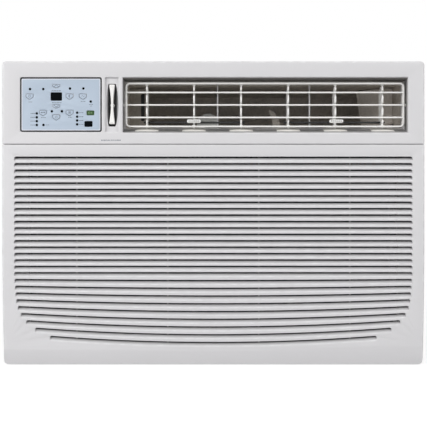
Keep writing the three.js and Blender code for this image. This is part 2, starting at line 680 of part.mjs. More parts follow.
// Upright braces across the outlet, at thirds of its width.
function outletBraces() {
  const z0 = OPEN_FOOT_Z + OUTLET_RISE - SINK;
  const pitch = (OUTLET_X1 - OUTLET_X0) / (BRACES + 1);
  return evenly(BRACES, pitch).map((x) => {
    const [x0, x1] = [OUTLET_X + x - BRACE_THICK / 2, OUTLET_X + x + BRACE_THICK / 2];
    return box(x0, x1, RIM_Y - BRACE_DEPTH, RIM_Y, z0, OPEN_TOP_Z + SINK);
  });
}

function louverPivots(radius) {
  const reach = LOUVER_HALF_W + LOUVER_SIDE + SHELL;
  return rod('x', LOUVER_Y, LOUVER_Z, radius, OUTLET_X - reach, OUTLET_X + reach);
}

// A pocket for the control panel, with a ledge behind it and the space for its circuit board.
function controlPocket() {
  const y1 = FACE_Y + PANEL_DROP + PANEL_THICK + CLEAR + SHELL;
  return box(PANEL_X0 - SHELL, PANEL_X1 + SHELL, FACE_Y, y1, OPEN_FOOT_Z - SHELL, OPEN_TOP_Z + SHELL);
}

// Bosses behind the ledge that the display board is screwed to.
function boardBosses() {
  const inset = PANEL_GAP + LEDGE / 2;
  const y0 = FACE_Y + PANEL_DROP + PANEL_THICK + CLEAR + SHELL / 2;
  const radius = LEDGE / 2 - CLEAR;
  return [PANEL_X0 + inset, PANEL_X1 - inset].flatMap((x) =>
    [OPEN_FOOT_Z + inset, OPEN_TOP_Z - inset].map((z) => rod('y', x, z, radius, y0, BOARD_Y - CLEAR, 8)),
  );
}

function controlSpace() {
  const floor = FACE_Y + PANEL_DROP + PANEL_THICK + CLEAR;
  const mouth = roundedRectangle(PANEL_X0, PANEL_X1, OPEN_FOOT_Z, OPEN_TOP_Z, PANEL_CORNER);
  const pocket = prism('y', mouth, FACE_Y - OVER, floor);
  const through = box(
    PANEL_X0 + PANEL_GAP + LEDGE,
    PANEL_X1 - PANEL_GAP - LEDGE,
    FACE_Y,
    floor + SHELL + OVER,
    OPEN_FOOT_Z + PANEL_GAP + LEDGE,
    OPEN_TOP_Z - PANEL_GAP - LEDGE,
  );
  return pocket.add(through);
}

// A shallow recess for the vent handle, with a deeper lens-shaped well for the fingers.
function handleWell() {
  const floor = FACE_Y + WELL_DEPTH + SHELL;
  return box(WELL_X0 - SHELL, WELL_X1 + SHELL, FACE_Y, floor, OPEN_FOOT_Z - SHELL, OPEN_TOP_Z + SHELL);
}

function handleSpace() {
  const recess = box(WELL_X0, WELL_X1, FACE_Y - OVER, FACE_Y + WELL_STEP, OPEN_FOOT_Z, OPEN_TOP_Z);
  const well = prism('y', wellOutline(), FACE_Y, FACE_Y + WELL_DEPTH);
  const bore = rod('y', WELL_X, OPEN_Z, ROD_RADIUS + CLEAR, FACE_Y, RIM_Y + OVER);
  return join([recess, well, bore]);
}

// The finger well is widest beside the handle's waist.
function wellOutline() {
  const half = HANDLE_LENGTH / 2 + RUNNING;
  const narrow = HANDLE_END / 2 + RUNNING;
  const steps = 8;
  const right = [];
  for (let i = 0; i <= steps; i++) {
    const t = -1 + (2 * i) / steps;
    right.push([WELL_X + WELL_HALF - (WELL_HALF - narrow) * t * t, OPEN_Z + half * t]);
  }
  const left = right.map(([x, z]) => [2 * WELL_X - x, z]).reverse();
  return polygon([...right, ...left]);
}

// Ears on the ring that carry the intake grille's pegs.
function hingeEar(side) {
  const x = side * EAR_X;
  const outline = polygon([
    [RING_Y + SHELL / 2, HINGE_Z - EAR_WALL],
    [RING_Y + SHELL / 2, HINGE_Z + EAR_WALL],
    ...arc(HINGE_Y, HINGE_Z, EAR_WALL, 90, 270, 8),
  ]);
  return prism('x', outline, x - EAR_THICK / 2, x + EAR_THICK / 2);
}

function hingeBore() {
  return rod('x', HINGE_Y, HINGE_Z, HINGE_RADIUS + CLEAR, -EAR_X - EAR_THICK, EAR_X + EAR_THICK);
}

// ---------------------------------------------------------------- cord gland

function glandBore() {
  return rod('x', GLAND_Y, GLAND_Z, GLAND_RADIUS + CLEAR, -WIDTH, -WIDTH / 2 + 3 * SHELL);
}

// A rubber gland in the side wall, flush outside, with a flange inside.
function cordGland() {
  const outer = -sideX(GLAND_Z) + CLEAR;
  const inner = -sideX(GLAND_Z) + SHELL + 2 * CLEAR;
  const stem = rod('x', GLAND_Y, GLAND_Z, GLAND_RADIUS, outer, outer + GLAND_LENGTH);
  const flange = rod('x', GLAND_Y, GLAND_Z, GLAND_FLANGE, inner, inner + SHELL);
  const bore = rod('x', GLAND_Y, GLAND_Z, GLAND_BORE, outer - OVER, outer + GLAND_LENGTH + OVER);
  return stem.add(flange).subtract(bore);
}

// ---------------------------------------------------------------- intake grille

function slotCount() {
  const straight = (SEAM_Z - SLOT_DROP - SLOT_FOOT - BOW_SLOTS * BOW_PITCH) / SLOT_PITCH;
  return Math.round(straight) + 1;
}

// Middle height, sag at the reference half length, and half length of each slot, from the top.
function slots() {
  const straight = slotCount();
  const top = SEAM_Z - SLOT_DROP;
  const full = WIDTH / 2 - SLOT_MARGIN;
  const list = [];
  for (let i = 0; i < straight; i++) {
    list.push({ z: top - i * SLOT_PITCH, sag: 0, half: full, bowed: false });
  }
  const last = top - (straight - 1) * SLOT_PITCH;
  for (let i = 1; i <= BOW_SLOTS; i++) {
    const z = last - i * BOW_PITCH;
    const sag = i * BOW_SAG;
    const drop = i / BOW_SLOTS;
    const shorter = SLOT_SHORTEN * (SLOT_EVEN * drop + (1 - SLOT_EVEN) * drop ** SLOT_CURVE);
    const half = full - shorter;
    list.push({ z, sag, half, bowed: true });
  }
  return list;
}

function slotHeight(slot) {
  const pitch = slot.bowed ? BOW_PITCH - BOW_SAG : SLOT_PITCH;
  return pitch - SLOT_GAP - NOSE;
}

// The space of one slot: open below the nose above, then the sloping face of the slat below.
function slotSpace(slot) {
  const back = FACE_Y + GRILLE_THICK + OVER;
  const half = SLOT_GAP / 2;
  const section = [
    [FACE_Y - OVER, half],
    [FACE_Y - OVER, -half - slotHeight(slot)],
    [FACE_Y, -half - slotHeight(slot)],
    [FACE_Y + SLOT_RECESS, -half],
    [back, -half],
    [back, half],
  ];
  const steps = slot.bowed ? 8 : 1;
  const geometry = prismGeometry('x', polygon(section), -slot.half, slot.half, steps);
  const position = geometry.attributes.position;
  for (let i = 0; i < position.count; i++) {
    const across = position.getX(i) / (WIDTH / 2 - SLOT_MARGIN);
    position.setZ(i, position.getZ(i) + slot.z + slot.sag * across * across);
  }
  return solid(geometry);
}

// What is cut away where the face curves back to the lower edge, set back by inset.
function rollOff(inset) {
  const points = [[FACE_Y - OVER - inset, FRONT_FLOOR - OVER]];
  const drop = ROLL_HEIGHT - FRONT_FLOOR + OVER;
  const steps = 6;
  for (let i = steps; i >= 0; i--) {
    const t = i / steps;
    points.push([FACE_Y + ROLL_DEPTH * t * t + inset, ROLL_HEIGHT - drop * t]);
  }
  points.push([FACE_Y - OVER - inset, ROLL_HEIGHT]);
  return prism('x', polygon(points), -WIDTH, WIDTH);
}

function intakeGrille() {
  const top = SEAM_Z - SEAM / 2;
  const back = RING_Y - OVER;
  let grille = frontBody(back).intersect(box(-WIDTH, WIDTH, FACE_Y, back, 0, top));
  const inner = prism('y', frontOutline(SHELL), FACE_Y + SHELL, back + OVER);
  const hollow = inner.intersect(box(-WIDTH, WIDTH, FACE_Y, back + OVER, 0, top - SHELL));
  grille = grille.subtract(hollow.subtract(rollOff(SHELL)));
  grille = grille.add(slattedBlock(top)).subtract(join(slots().map(slotSpace)));
  grille = join([grille, ...ribs(), ...filterHooks()]).subtract(rollOff(0));
  return grille.subtract(hingeRelief()).add(hingePeg(-1)).add(hingePeg(1));
}

function slattedBlock(top) {
  const side = WIDTH / 2 - SLOT_MARGIN + FIELD_EDGE;
  const z0 = ROLL_HEIGHT - FIELD_EDGE - SHELL;
  return box(-side, side, FACE_Y + SHELL - SINK / 4, FACE_Y + GRILLE_THICK, z0, top - SHELL);
}

// Upright ribs that tie the slats together.
function ribs() {
  const y0 = FACE_Y + GRILLE_THICK;
  const y1 = y0 + RIB_DEPTH;
  const foot = ROLL_HEIGHT - FIELD_EDGE - SHELL;
  const head = SEAM_Z - SLOT_DROP + FIELD_EDGE;
  return evenly(RIBS, RIB_PITCH).map((x) => box(x - RIB_WIDTH / 2, x + RIB_WIDTH / 2, y0, y1, foot, head));
}

function evenly(count, pitch) {
  return Array.from({ length: count }, (_, i) => (i - (count - 1) / 2) * pitch);
}

// The lower wall is cut back behind the hinge axis and round the ears.
function hingeRelief() {
  const round = EAR_WALL + SINK;
  const rear = box(-WIDTH, WIDTH, HINGE_Y - OVER, RING_Y, 0, HINGE_Z);
  const ears = [-1, 1].map((side) => {
    const x = side * EAR_X;
    return box(x - EAR_THICK, x + EAR_THICK, HINGE_Y - round - OVER, RING_Y, 0, HINGE_Z + round);
  });
  return join([rear, ...ears]);
}

// A peg through each ear, on a cheek that stands on the lower wall.
function hingePeg(side) {
  const face = EAR_X + EAR_THICK / 2 + RUNNING;
  const root = HINGE_RADIUS + HINGE_WALL;
  const outline = polygon([
    [HINGE_Y - CHEEK_LENGTH, FRONT_FLOOR + OVER],
    [HINGE_Y - OVER, FRONT_FLOOR + OVER],
    ...arc(HINGE_Y, HINGE_Z, root, -60, 90, 6),
    [HINGE_Y - CHEEK_LENGTH, HINGE_Z + root],
  ]);
  const cheek = prism('x', outline, face, face + SHELL);
  const peg = rod('x', HINGE_Y, HINGE_Z, HINGE_RADIUS, face - EAR_THICK - 2 * RUNNING, face + SINK);
  return side > 0 ? cheek.add(peg) : cheek.add(peg).mirror([1, 0, 0]);
}

// ---------------------------------------------------------------- filter

// Hooks that hold the filter against the ribs, at its upper and lower edges.
function filterHooks() {
  const back = FILTER_Y1 + CLEAR;
  const hooks = [];
  for (const x of evenly(2, FILTER_HALF)) {
    const wide = [x - HOOK_WIDTH / 2, x + HOOK_WIDTH / 2];
    for (const [edge, out] of [[FILTER_Z0, -1], [FILTER_Z1, 1]]) {
      const near = edge + out * CLEAR;
      const far = near + out * SHELL;
      const lip = edge - out * HOOK_LIP;
      const arm = [Math.min(near, far), Math.max(near, far)];
      const catchZ = [Math.min(lip, far), Math.max(lip, far)];
      hooks.push(box(...wide, FACE_Y + SHELL - SINK, back + HOOK_THICK, ...arm));
      hooks.push(box(...wide, back, back + HOOK_THICK, ...catchZ));
    }
  }
  return hooks;
}

function filterFrame() {
  const rim = box(-FILTER_HALF, FILTER_HALF, FILTER_Y0, FILTER_Y1, FILTER_Z0, FILTER_Z1);
  const side = FILTER_HALF - FILTER_BORDER;
  const [z0, z1] = [FILTER_Z0 + FILTER_BORDER, FILTER_Z1 - FILTER_BORDER];
  const window = box(-side, side, FILTER_Y0 - OVER, FILTER_Y1 + OVER, z0, z1);
  const middle = (FILTER_Z0 + FILTER_Z1) / 2;
  const y1 = FILTER_Y1 - FILTER_MESH - 2 * CLEAR - FILTER_BACK;
  const half = FILTER_BAR / 2;
  const bars = evenly(FILTER_BARS, (2 * side) / (FILTER_BARS + 1)).map((x) =>
    box(x - half, x + half, FILTER_Y0, y1, z0 - SINK, z1 + SINK),
  );
  bars.push(box(-side - SINK, side + SINK, FILTER_Y0, y1, middle - half, middle + half));
  return join([rim.subtract(window), ...bars]);
}

function filterMesh() {
  const side = FILTER_HALF - FILTER_BORDER - CLEAR;
  const y1 = FILTER_Y1 - FILTER_BACK;
  const z0 = FILTER_Z0 + FILTER_BORDER + CLEAR;
  const z1 = FILTER_Z1 - FILTER_BORDER - CLEAR;
  return box(-side, side, y1 - FILTER_MESH, y1, z0, z1);
}

node('front_frame', frontFrame(), FINISH.front);
node('cord_gland', cordGland(), FINISH.rubber);
node('intake_grille', intakeGrille(), FINISH.front);
node('filter_frame', filterFrame(), FINISH.darkPlastic);
node('filter_mesh', filterMesh(), FINISH.mesh);

// ---------------------------------------------------------------- outlet louvre

function louverFrame() {
  const [y0, y1] = [LOUVER_Y - LOUVER_DEPTH / 2, LOUVER_Y + LOUVER_DEPTH / 2];
  const [x0, x1] = [OUTLET_X - LOUVER_HALF_W, OUTLET_X + LOUVER_HALF_W];
  const [z0, z1] = [LOUVER_Z - LOUVER_HALF_H, LOUVER_Z + LOUVER_HALF_H];
  const bar = FRAME_BAR;
  const outer = prism('y', roundedRectangle(x0, x1, z0, z1, LOUVER_CORNER), y0, y1);
  const inner = roundedRectangle(x0 + bar, x1 - bar, z0 + bar, z1 - bar, LOUVER_CORNER - bar);
  const rim = outer.subtract(prism('y', inner, y0 - OVER, y1 + OVER));
  const bladeBack = VANE_Y - VANE_PIN - 2 * VANE_PLAY;
  const blades = evenly(BLADES, BLADE_PITCH).map((z) =>
    box(x0 + bar / 2, x1 - bar / 2, y0, bladeBack, LOUVER_Z + z - BLADE / 2, LOUVER_Z + z + BLADE / 2),
  );
  const reach = LOUVER_SIDE + SHELL - SINK;
  const pivots = [
    rod('x', LOUVER_Y, LOUVER_Z, PIVOT_RADIUS, x0 - reach, x0 + bar / 2, 8),
    rod('x', LOUVER_Y, LOUVER_Z, PIVOT_RADIUS, x1 - bar / 2, x1 + reach, 8),
  ];
  const hole = VANE_PIN + VANE_PLAY;
  const holes = vaneXs().flatMap((x) => [
    rod('z', x, VANE_Y, hole, z0 - OVER, z0 + bar + OVER, 6),
    rod('z', x, VANE_Y, hole, z1 - bar - OVER, z1 + OVER, 6),
  ]);
  return join([rim, ...blades, ...pivots]).subtract(join(holes));
}

function vaneXs() {
  return evenly(VANES, VANE_PITCH).map((x) => OUTLET_X + x);
}

// A vane from the side: its rear corners are cut to a circle about the louvre's
// tilt axis, so that they clear the outlet's floor and ceiling as it tilts.
function vaneOutline() {
  const half = LOUVER_HALF_H - FRAME_BAR - VANE_PLAY;
  const front = VANE_Y + SINK;
  const rear = VANE_Y + VANE_REACH;
  const swing = LOUVER_HALF_H;
  const upper = [];
  const steps = 3;
  for (let i = 0; i <= steps; i++) {
    const y = front + ((rear - front) * i) / steps;
    const behind = y - LOUVER_Y;
    upper.push([y, LOUVER_Z + Math.min(half, Math.sqrt(swing * swing - behind * behind))]);
  }
  const lower = upper.map(([y, z]) => [y, 2 * LOUVER_Z - z]);
  return polygon([...lower, ...upper.reverse()]);
}

// Lobes on the vane's front edge stand in the gaps between the blades.
function vaneLobes(x) {
  const edges = [-LOUVER_HALF_H + FRAME_BAR, LOUVER_HALF_H - FRAME_BAR];
  for (const z of evenly(BLADES, BLADE_PITCH)) edges.push(z - BLADE / 2, z + BLADE / 2);
  edges.sort((a, b) => a - b);
  const lobes = [];
  for (let i = 0; i < edges.length; i += 2) {
    const low = LOUVER_Z + edges[i] + LOBE_GAP;
    const high = LOUVER_Z + edges[i + 1] - LOBE_GAP;
    const slope = LOBE * 0.6;
    const outline = polygon([
      [VANE_Y + OVER, low],
      [VANE_Y + OVER, high],
      [VANE_Y - LOBE, high - slope],
      [VANE_Y - LOBE, low + slope],
    ]);
    lobes.push(prism('x', outline, x - VANE_THICK / 2, x + VANE_THICK / 2));
  }
  return lobes;
}

// A vane at x with its two pins, its peg for the link and, on some, the finger tab.
function vane(x, tabbed) {
  const blade = prism('x', vaneOutline(), x - VANE_THICK / 2, x + VANE_THICK / 2);
  const space = LINK_THICK + LINK_SPACE;
  const windowY = LINK_Y - LINK_WIDTH / 2 - LINK_SPACE;
  const window = box(x - VANE_THICK, x + VANE_THICK, windowY, BACK_Y, LINK_Z - LINK_SPACE, LINK_Z + space);
  const end = LOUVER_HALF_H + OVER;
  const pins = [
    rod('z', x, VANE_Y, VANE_PIN, LOUVER_Z - end, LOUVER_Z - end + VANE_PIN_LENGTH, 6),
    rod('z', x, VANE_Y, VANE_PIN, LOUVER_Z + end - VANE_PIN_LENGTH, LOUVER_Z + end, 6),
  ];
  const peg = rod('z', x, LINK_Y, PEG_RADIUS, LINK_Z - PEG_FOOT, LINK_Z - PEG_FOOT + PEG_HEIGHT, 6);
  const pieces = [blade.subtract(window), ...pins, peg, ...vaneLobes(x)];
  if (tabbed) pieces.push(...fingerTab(x));
  return join(pieces);
}

// The tab that a finger moves, in front of the lowest gap, with its stem through the gap.
function fingerTab(x) {
  const low = -LOUVER_HALF_H + FRAME_BAR;
  const high = -((BLADES - 1) / 2) * BLADE_PITCH - BLADE / 2;
  const z = LOUVER_Z + (low + high) / 2;
  const back = LOUVER_Y - LOUVER_DEPTH / 2 - TAB_STAND;
  const [wide, tall] = [TAB_WIDTH / 2, TAB_HEIGHT / 2];
  const face = roundedRectangle(x - wide, x + wide, z - tall, z + tall, TAB_CORNER);
  const tab = prism('y', face, back - TAB_THICK, back);
  const [x0, x1] = [x - VANE_THICK / 2, x + VANE_THICK / 2];
  const stem = box(x0, x1, back - OVER, VANE_Y + OVER, z - TAB_STEM / 2, z + TAB_STEM / 2);
  return [tab, stem];
}

// The link that makes three vanes turn together: each peg turns in an oversize slot,
// because the slot keeps its line while the peg swings in an arc.
function vaneLink(first, count) {
  const xs = vaneXs().slice(first, first + count);
  const dip = LINK_ARM * (1 - Math.cos(THREE.MathUtils.degToRad(VANE_SWING)));
  const y0 = LINK_Y - LINK_WIDTH / 2 - dip / 2;
  const y1 = LINK_Y + LINK_WIDTH / 2 - dip / 2;
  const end = (2 * LINK_WIDTH) / 3;
  const z1 = LINK_Z + LINK_THICK;
  const bar = box(xs[0] - end, xs[count - 1] + end, y0, y1, LINK_Z, z1);
  const play = PEG_RADIUS + PEG_PLAY;
  const holes = xs.map((x) =>
    box(x - play, x + play, LINK_Y - dip - play, LINK_Y + play, LINK_Z - OVER, z1 + OVER),
  );
  return bar.subtract(join(holes));
}

node('louver_frame', louverFrame(), FINISH.louver);
const inThrees = VANES / 2; // each link joins this many vanes, and the middle one has the tab
vaneXs().forEach((x, i) => {
  const tabbed = i % inThrees === Math.floor(inThrees / 2);
  node(`vane_${i + 1}`, vane(x, tabbed), FINISH.louver);
});
node('vane_link_left', vaneLink(0, inThrees), FINISH.darkPlastic);
node('vane_link_right', vaneLink(inThrees, inThrees), FINISH.darkPlastic);

// ---------------------------------------------------------------- control panel

// Places on the overlay: right of its left edge, below its top edge, then width and height.
const OVERLAY_WIDTH = PANEL_WIDTH - 2 * PANEL_GAP;
const COLUMN_X = Array.from({ length: KEY_COLUMNS }, (_, i) => KEY_MARGIN + i * KEY_PITCH);
const KEYS = {
  key_timer: [COLUMN_X[0], ROW_DISPLAY, KEY_WIDTH, KEY_HEIGHT],
  key_up: [COLUMN_X[2], ROW_UP, KEY_WIDTH, CHEVRON_HEIGHT],
  key_down: [COLUMN_X[2], ROW_DOWN, KEY_WIDTH, CHEVRON_HEIGHT],
  key_sleep: [COLUMN_X[3], ROW_DISPLAY, KEY_WIDTH, KEY_HEIGHT],
  key_saver: [COLUMN_X[4], ROW_DISPLAY, KEY_WIDTH, KEY_HEIGHT],
  key_mode: [COLUMN_X[1], ROW_LOW, KEY_WIDTH, KEY_HEIGHT],
  key_power: [COLUMN_X[2], ROW_POWER, KEY_WIDTH, KEY_HEIGHT],
  key_fan: [COLUMN_X[3], ROW_LOW, KEY_WIDTH, KEY_HEIGHT],
};
const DISPLAY = [COLUMN_X[2], ROW_DISPLAY, DISPLAY_WIDTH, DISPLAY_HEIGHT];
const POWER_LIGHT = [OVERLAY_WIDTH - LIGHT_MARGIN, ROW_LOW, LIGHT_WIDTH, LIGHT_HEIGHT];
const EYE = [OVERLAY_WIDTH - EYE_MARGIN, ROW_EYE, EYE_WIDTH, EYE_HEIGHT];

function overlaySpan() {
  return {
    x0: PANEL_X0 + PANEL_GAP,
    x1: PANEL_X1 - PANEL_GAP,
    z0: OPEN_FOOT_Z + PANEL_GAP,
    z1: OPEN_TOP_Z - PANEL_GAP,
    y0: FACE_Y + PANEL_DROP,
    y1: FACE_Y + PANEL_DROP + PANEL_THICK,
  };
}

// A rectangle on the panel, grown by play on each side.
function onPanel([right, down, wide, high], play) {
  const { x0, z1 } = overlaySpan();
  const [x, z] = [x0 + right, z1 - down];
  return [x - wide / 2 - play, x + wide / 2 + play, z - high / 2 - play, z + high / 2 + play];
}

// A key's outline: square shoulders and a lower edge that comes to a blunt point.
function keyOutline(place, play) {
  const [x0, x1, z0, z1] = onPanel(place, play);
  const x = (x0 + x1) / 2;
  const z = z0 + (z1 - z0) * 0.42;
  const blunt = 1;
  return polygon([
    [x - blunt, z0],
    [x + blunt, z0],
    [x1, z],
    [x1, z1 - blunt],
    [x1 - blunt, z1],
    [x0 + blunt, z1],
    [x0, z1 - blunt],
    [x0, z],
  ]);
}

function windowOutline(place, play) {
  return roundedRectangle(...onPanel(place, play), 1.5);
}

function controlOverlay() {
  const { x0, x1, y0, y1, z0, z1 } = overlaySpan();
  const plate = prism('y', roundedRectangle(x0, x1, z0, z1, PANEL_CORNER - PANEL_GAP / 2), y0, y1);
  const outlines = [
    ...Object.values(KEYS).map((place) => keyOutline(place, KEY_FIT)),
    ...[DISPLAY, POWER_LIGHT, EYE].map((place) => windowOutline(place, KEY_FIT)),
  ];
  return plate.subtract(join(outlines.map((outline) => prism('y', outline, y0 - OVER, y1 + OVER))));
}

// A key's cap, with a stem that ends just short of its switch on the board.
function key(place) {
  const y0 = FACE_Y + PANEL_DROP - KEY_PROUD;
  const [x0, x1, z0, z1] = onPanel(place, 0);
  const cap = prism('y', keyOutline(place, 0), y0, y0 + PANEL_THICK + KEY_PROUD);
  const back = BOARD_Y - KEY_TRAVEL - CLEAR;
  return cap.add(rod('y', (x0 + x1) / 2, (z0 + z1) / 2, KEY_STEM, y0 + SINK, back, 8));
}

function panelWindow(place) {
  const { y0 } = overlaySpan();
  return prism('y', windowOutline(place, 0), y0, BOARD_Y - CLEAR);
}

function displayBoard() {
  const edge = PANEL_GAP;
  const [z0, z1] = [OPEN_FOOT_Z + edge, OPEN_TOP_Z - edge];
  return box(PANEL_X0 + edge, PANEL_X1 - edge, BOARD_Y, BOARD_Y + BOARD_THICK, z0, z1);
}

node('control_overlay', controlOverlay(), FINISH.overlay);
for (const [name, place] of Object.entries(KEYS)) node(name, key(place), FINISH.overlay);
node('display_window', panelWindow(DISPLAY), FINISH.black);
node('power_light', panelWindow(POWER_LIGHT), FINISH.green);
node('remote_eye', panelWindow(EYE), FINISH.black);
node('display_board', displayBoard(), FINISH.board);

// ---------------------------------------------------------------- vent handle and door

// A handle with broad ends and a narrow waist, for a finger and thumb.
function ventHandle() {
  const half = HANDLE_LENGTH / 2;
  const steps = 8;
  const right = [];
  for (let i = 0; i <= steps; i++) {
    const t = -1 + (2 * i) / steps;
    const width = HANDLE_WAIST + (HANDLE_END - HANDLE_WAIST) * t * t;
    right.push([WELL_X + width / 2, OPEN_Z + half * t]);
  }
  const left = right.map(([x, z]) => [2 * WELL_X - x, z]).reverse();
  const grip = prism('y', polygon([...right, ...left]), HANDLE_Y0, HANDLE_Y1);
  const y0 = HANDLE_Y1 - ROD_GRIP;
  const boss = rod('y', WELL_X, OPEN_Z, ROD_RADIUS + ROD_BOSS, y0 - ROD_BOSS, HANDLE_Y1 + OVER);
  const bore = rod('y', WELL_X, OPEN_Z, ROD_RADIUS + CLEAR, y0, HANDLE_Y1 + 2 * OVER);
  return grip.add(boss).subtract(bore);
}

// The steel rod from the handle to the vent door, turned down at its end.
function ventRod() {
  const y0 = HANDLE_Y1 - ROD_GRIP + CLEAR;
  const straight = rod('y', WELL_X, OPEN_Z, ROD_RADIUS, y0, VENT_PIN_Y + ROD_RADIUS);
  const foot = OPEN_Z - VENT_LUG_DROP - VENT_LUG_THICK + SINK;
  const turn = rod('z', WELL_X, VENT_PIN_Y, VENT_PIN, foot, OPEN_Z);
  return straight.add(turn);
}

// The door laps its opening in the bulkhead; a slotted lug takes the rod's turned end.
function ventDoor() {
  const [z0, z1] = [OPEN_Z - VENT_HEIGHT / 2 - VENT_LAP, OPEN_Z + VENT_HEIGHT / 2 + VENT_LAP];
  const plate = box(VENT_HINGE_X, VENT_X1 + VENT_LAP, VENT_Y1 - VENT_SHEET, VENT_Y1, z0, z1);
  const middle = VENT_LUG_RISE - BRACKET - OVER;
  const barrel = rod('z', VENT_HINGE_X, VENT_HINGE_Y, VENT_BARREL, OPEN_Z - middle, OPEN_Z + middle);
  const pinBore = rod('z', VENT_HINGE_X, VENT_HINGE_Y, VENT_PIN + CLEAR, z0 - OVER, z1 + OVER);
  const reliefs = [-1, 1].map((side) => bracketBlock(side, BRACKET + OVER, BRACKET_REACH + OVER));
  return plate.add(ventLug()).add(barrel).subtract(join([pinBore, ...reliefs]));
}

function ventLug() {
  const z1 = OPEN_Z - VENT_LUG_DROP;
  const z0 = z1 - VENT_LUG_THICK;
  const play = VENT_PIN + VENT_PLAY;
  const [x0, x1] = [WELL_X - play, WELL_X + play + VENT_CREEP];
  const [y0, y1] = [VENT_HINGE_Y - VENT_LUG, VENT_Y1 - OVER];
  const lug = box(x0 - VENT_LUG_WALL, x1 + VENT_LUG_WALL, y0, y1, z0, z1);
  return lug.subtract(box(x0, x1, VENT_PIN_Y - play, VENT_PIN_Y + play, z0 - OVER, z1 + OVER));
}

// A block round the hinge pin, above the rod for side 1 and below it for side -1.
function bracketBlock(side, half, reach) {
  const z = OPEN_Z + side * VENT_LUG_RISE;
  const [x0, x1] = [VENT_HINGE_X - half, VENT_HINGE_X + half];
  return box(x0, x1, VENT_HINGE_Y - half, BULKHEAD_Y + SINK, z - reach, z + reach);
}

// The hinge pin, held in two lugs of the bulkhead.
function ventPin() {
  const reach = VENT_LUG_RISE + BRACKET_REACH;
  return rod('z', VENT_HINGE_X, VENT_HINGE_Y, VENT_PIN, OPEN_Z - reach, OPEN_Z + reach);
}

function ventPinLugs() {
  const reach = VENT_LUG_RISE + BRACKET;
  const bore = rod('z', VENT_HINGE_X, VENT_HINGE_Y, VENT_PIN + CLEAR, OPEN_Z - reach, OPEN_Z + reach);
  return [-1, 1].map((side) => bracketBlock(side, BRACKET, BRACKET_REACH).subtract(bore));
}

node('vent_handle', ventHandle(), FINISH.louver);
node('vent_rod', ventRod(), FINISH.steel);
node('vent_door', ventDoor(), FINISH.darkPlastic);
node('vent_door_pin', ventPin(), FINISH.steel);

// ---------------------------------------------------------------- cabinet

// Sheet steel wrap over the top and both sides, with pressed air slots towards the rear.
function cabinetWrap() {
  const outer = box(-CABINET_HALF, CABINET_HALF, CABINET_Y0, BACK_Y, 0, CABINET_Z1);
  const inside = CABINET_HALF - SHEET;
  const inner = box(-inside, inside, CABINET_Y0 - OVER, BACK_Y + OVER, -OVER, CABINET_Z1 - SHEET);
  return outer.subtract(inner).subtract(join([...sideSlots(), ...topSlots()]));
}

function slotColumns() {
  const middle = (BULKHEAD_Y + SHROUD_Y0) / 2;
  const pitch = LOUVER_SLOT_LENGTH + SLOT_SPACE;
  return [middle - pitch / 2, middle + pitch / 2];
}

function sideSlots() {
  const length = LOUVER_SLOT_LENGTH / 2;
  const cuts = [];
  for (const y of slotColumns()) {
    for (const up of evenly(LOUVER_SLOT_ROWS, LOUVER_SLOT_PITCH)) {
      const z = CABINET_Z1 * SLOT_RISE + up;
      const height = [z - LOUVER_SLOT_HEIGHT / 2, z + LOUVER_SLOT_HEIGHT / 2];
      cuts.push(box(-CABINET_HALF - OVER, CABINET_HALF + OVER, y - length, y + length, ...height));
    }
  }
  return cuts;
}

function topSlots() {
  const length = LOUVER_SLOT_LENGTH / 2;
  const cuts = [];
  for (const y of slotColumns()) {
    for (const x of evenly(TOP_SLOT_ROWS, LOUVER_SLOT_PITCH)) {
      const wide = [FAN_X + x - LOUVER_SLOT_HEIGHT / 2, FAN_X + x + LOUVER_SLOT_HEIGHT / 2];
      cuts.push(box(...wide, y - length, y + length, CABINET_Z1 - SHEET - OVER, CABINET_Z1 + OVER));
    }
  }
  return cuts;
}

// Floor of the cabinet, with turned-up sides inside the wrap and two rails for the chassis.
function cabinetBase() {
  const half = CABINET_HALF - SHEET - CLEAR;
  const tray = box(-half, half, CABINET_Y0, BACK_Y, 0, FLANGE);
  const inner = box(-half + SHEET, half - SHEET, CABINET_Y0 - OVER, BACK_Y + OVER, SHEET, FLANGE + OVER);
  const rails = [-1, 1].map((side) => {
    const x = side * (CABINET_HALF - RUNNER_INSET);
    const wide = [x - RUNNER_WIDTH / 2, x + RUNNER_WIDTH / 2];
    return box(...wide, CABINET_Y0, BACK_Y, SHEET / 2, SHEET + RUNNER);
  });
  return join([tray.subtract(inner), ...rails]);
}

// ---------------------------------------------------------------- chassis: pan, bulkhead, coils

function basePan() {
  const outer = box(-PAN_HALF, PAN_HALF, PAN_Y0, PAN_Y1, PAN_Z0, PAN_Z0 + PAN_RIM);
  const s = PAN_SHEET;
  const rim = PAN_Z0 + PAN_RIM + OVER;
  const inner = box(-PAN_HALF + s, PAN_HALF - s, PAN_Y0 + s, PAN_Y1 - s, PAN_FLOOR_Z, rim);
  const drainY = PAN_Y1 - DRAIN_INSET;
  const drain = rod('z', PAN_HALF * 0.6, drainY, DRAIN_RADIUS, PAN_Z0 - OVER, PAN_FLOOR_Z + OVER);
  return outer.subtract(inner).subtract(drain);
}

function bulkhead() {
  const half = PAN_HALF - PAN_SHEET - CLEAR;
  const y1 = BULKHEAD_Y + BULKHEAD_SHEET;
  const plate = box(-half, half, BULKHEAD_Y, y1, DECK_Z, ROOF_Z);
  const hole = [BULKHEAD_Y - OVER, y1 + OVER];
  const vent = box(VENT_X0, VENT_X1, ...hole, OPEN_Z - VENT_HEIGHT / 2, OPEN_Z + VENT_HEIGHT / 2);
  const shaft = rod('y', FAN_X, FAN_Z, SHAFT_RADIUS + SHAFT_HOLE, ...hole);
  const pipes = [SUCTION_Z, LIQUID_Z].map((z) => rod('y', PIPE_X, z, PIPE_RADIUS + PIPE_HOLE, ...hole));
  return join([plate, ...ventPinLugs()]).subtract(join([vent, shaft, ...pipes]));
}

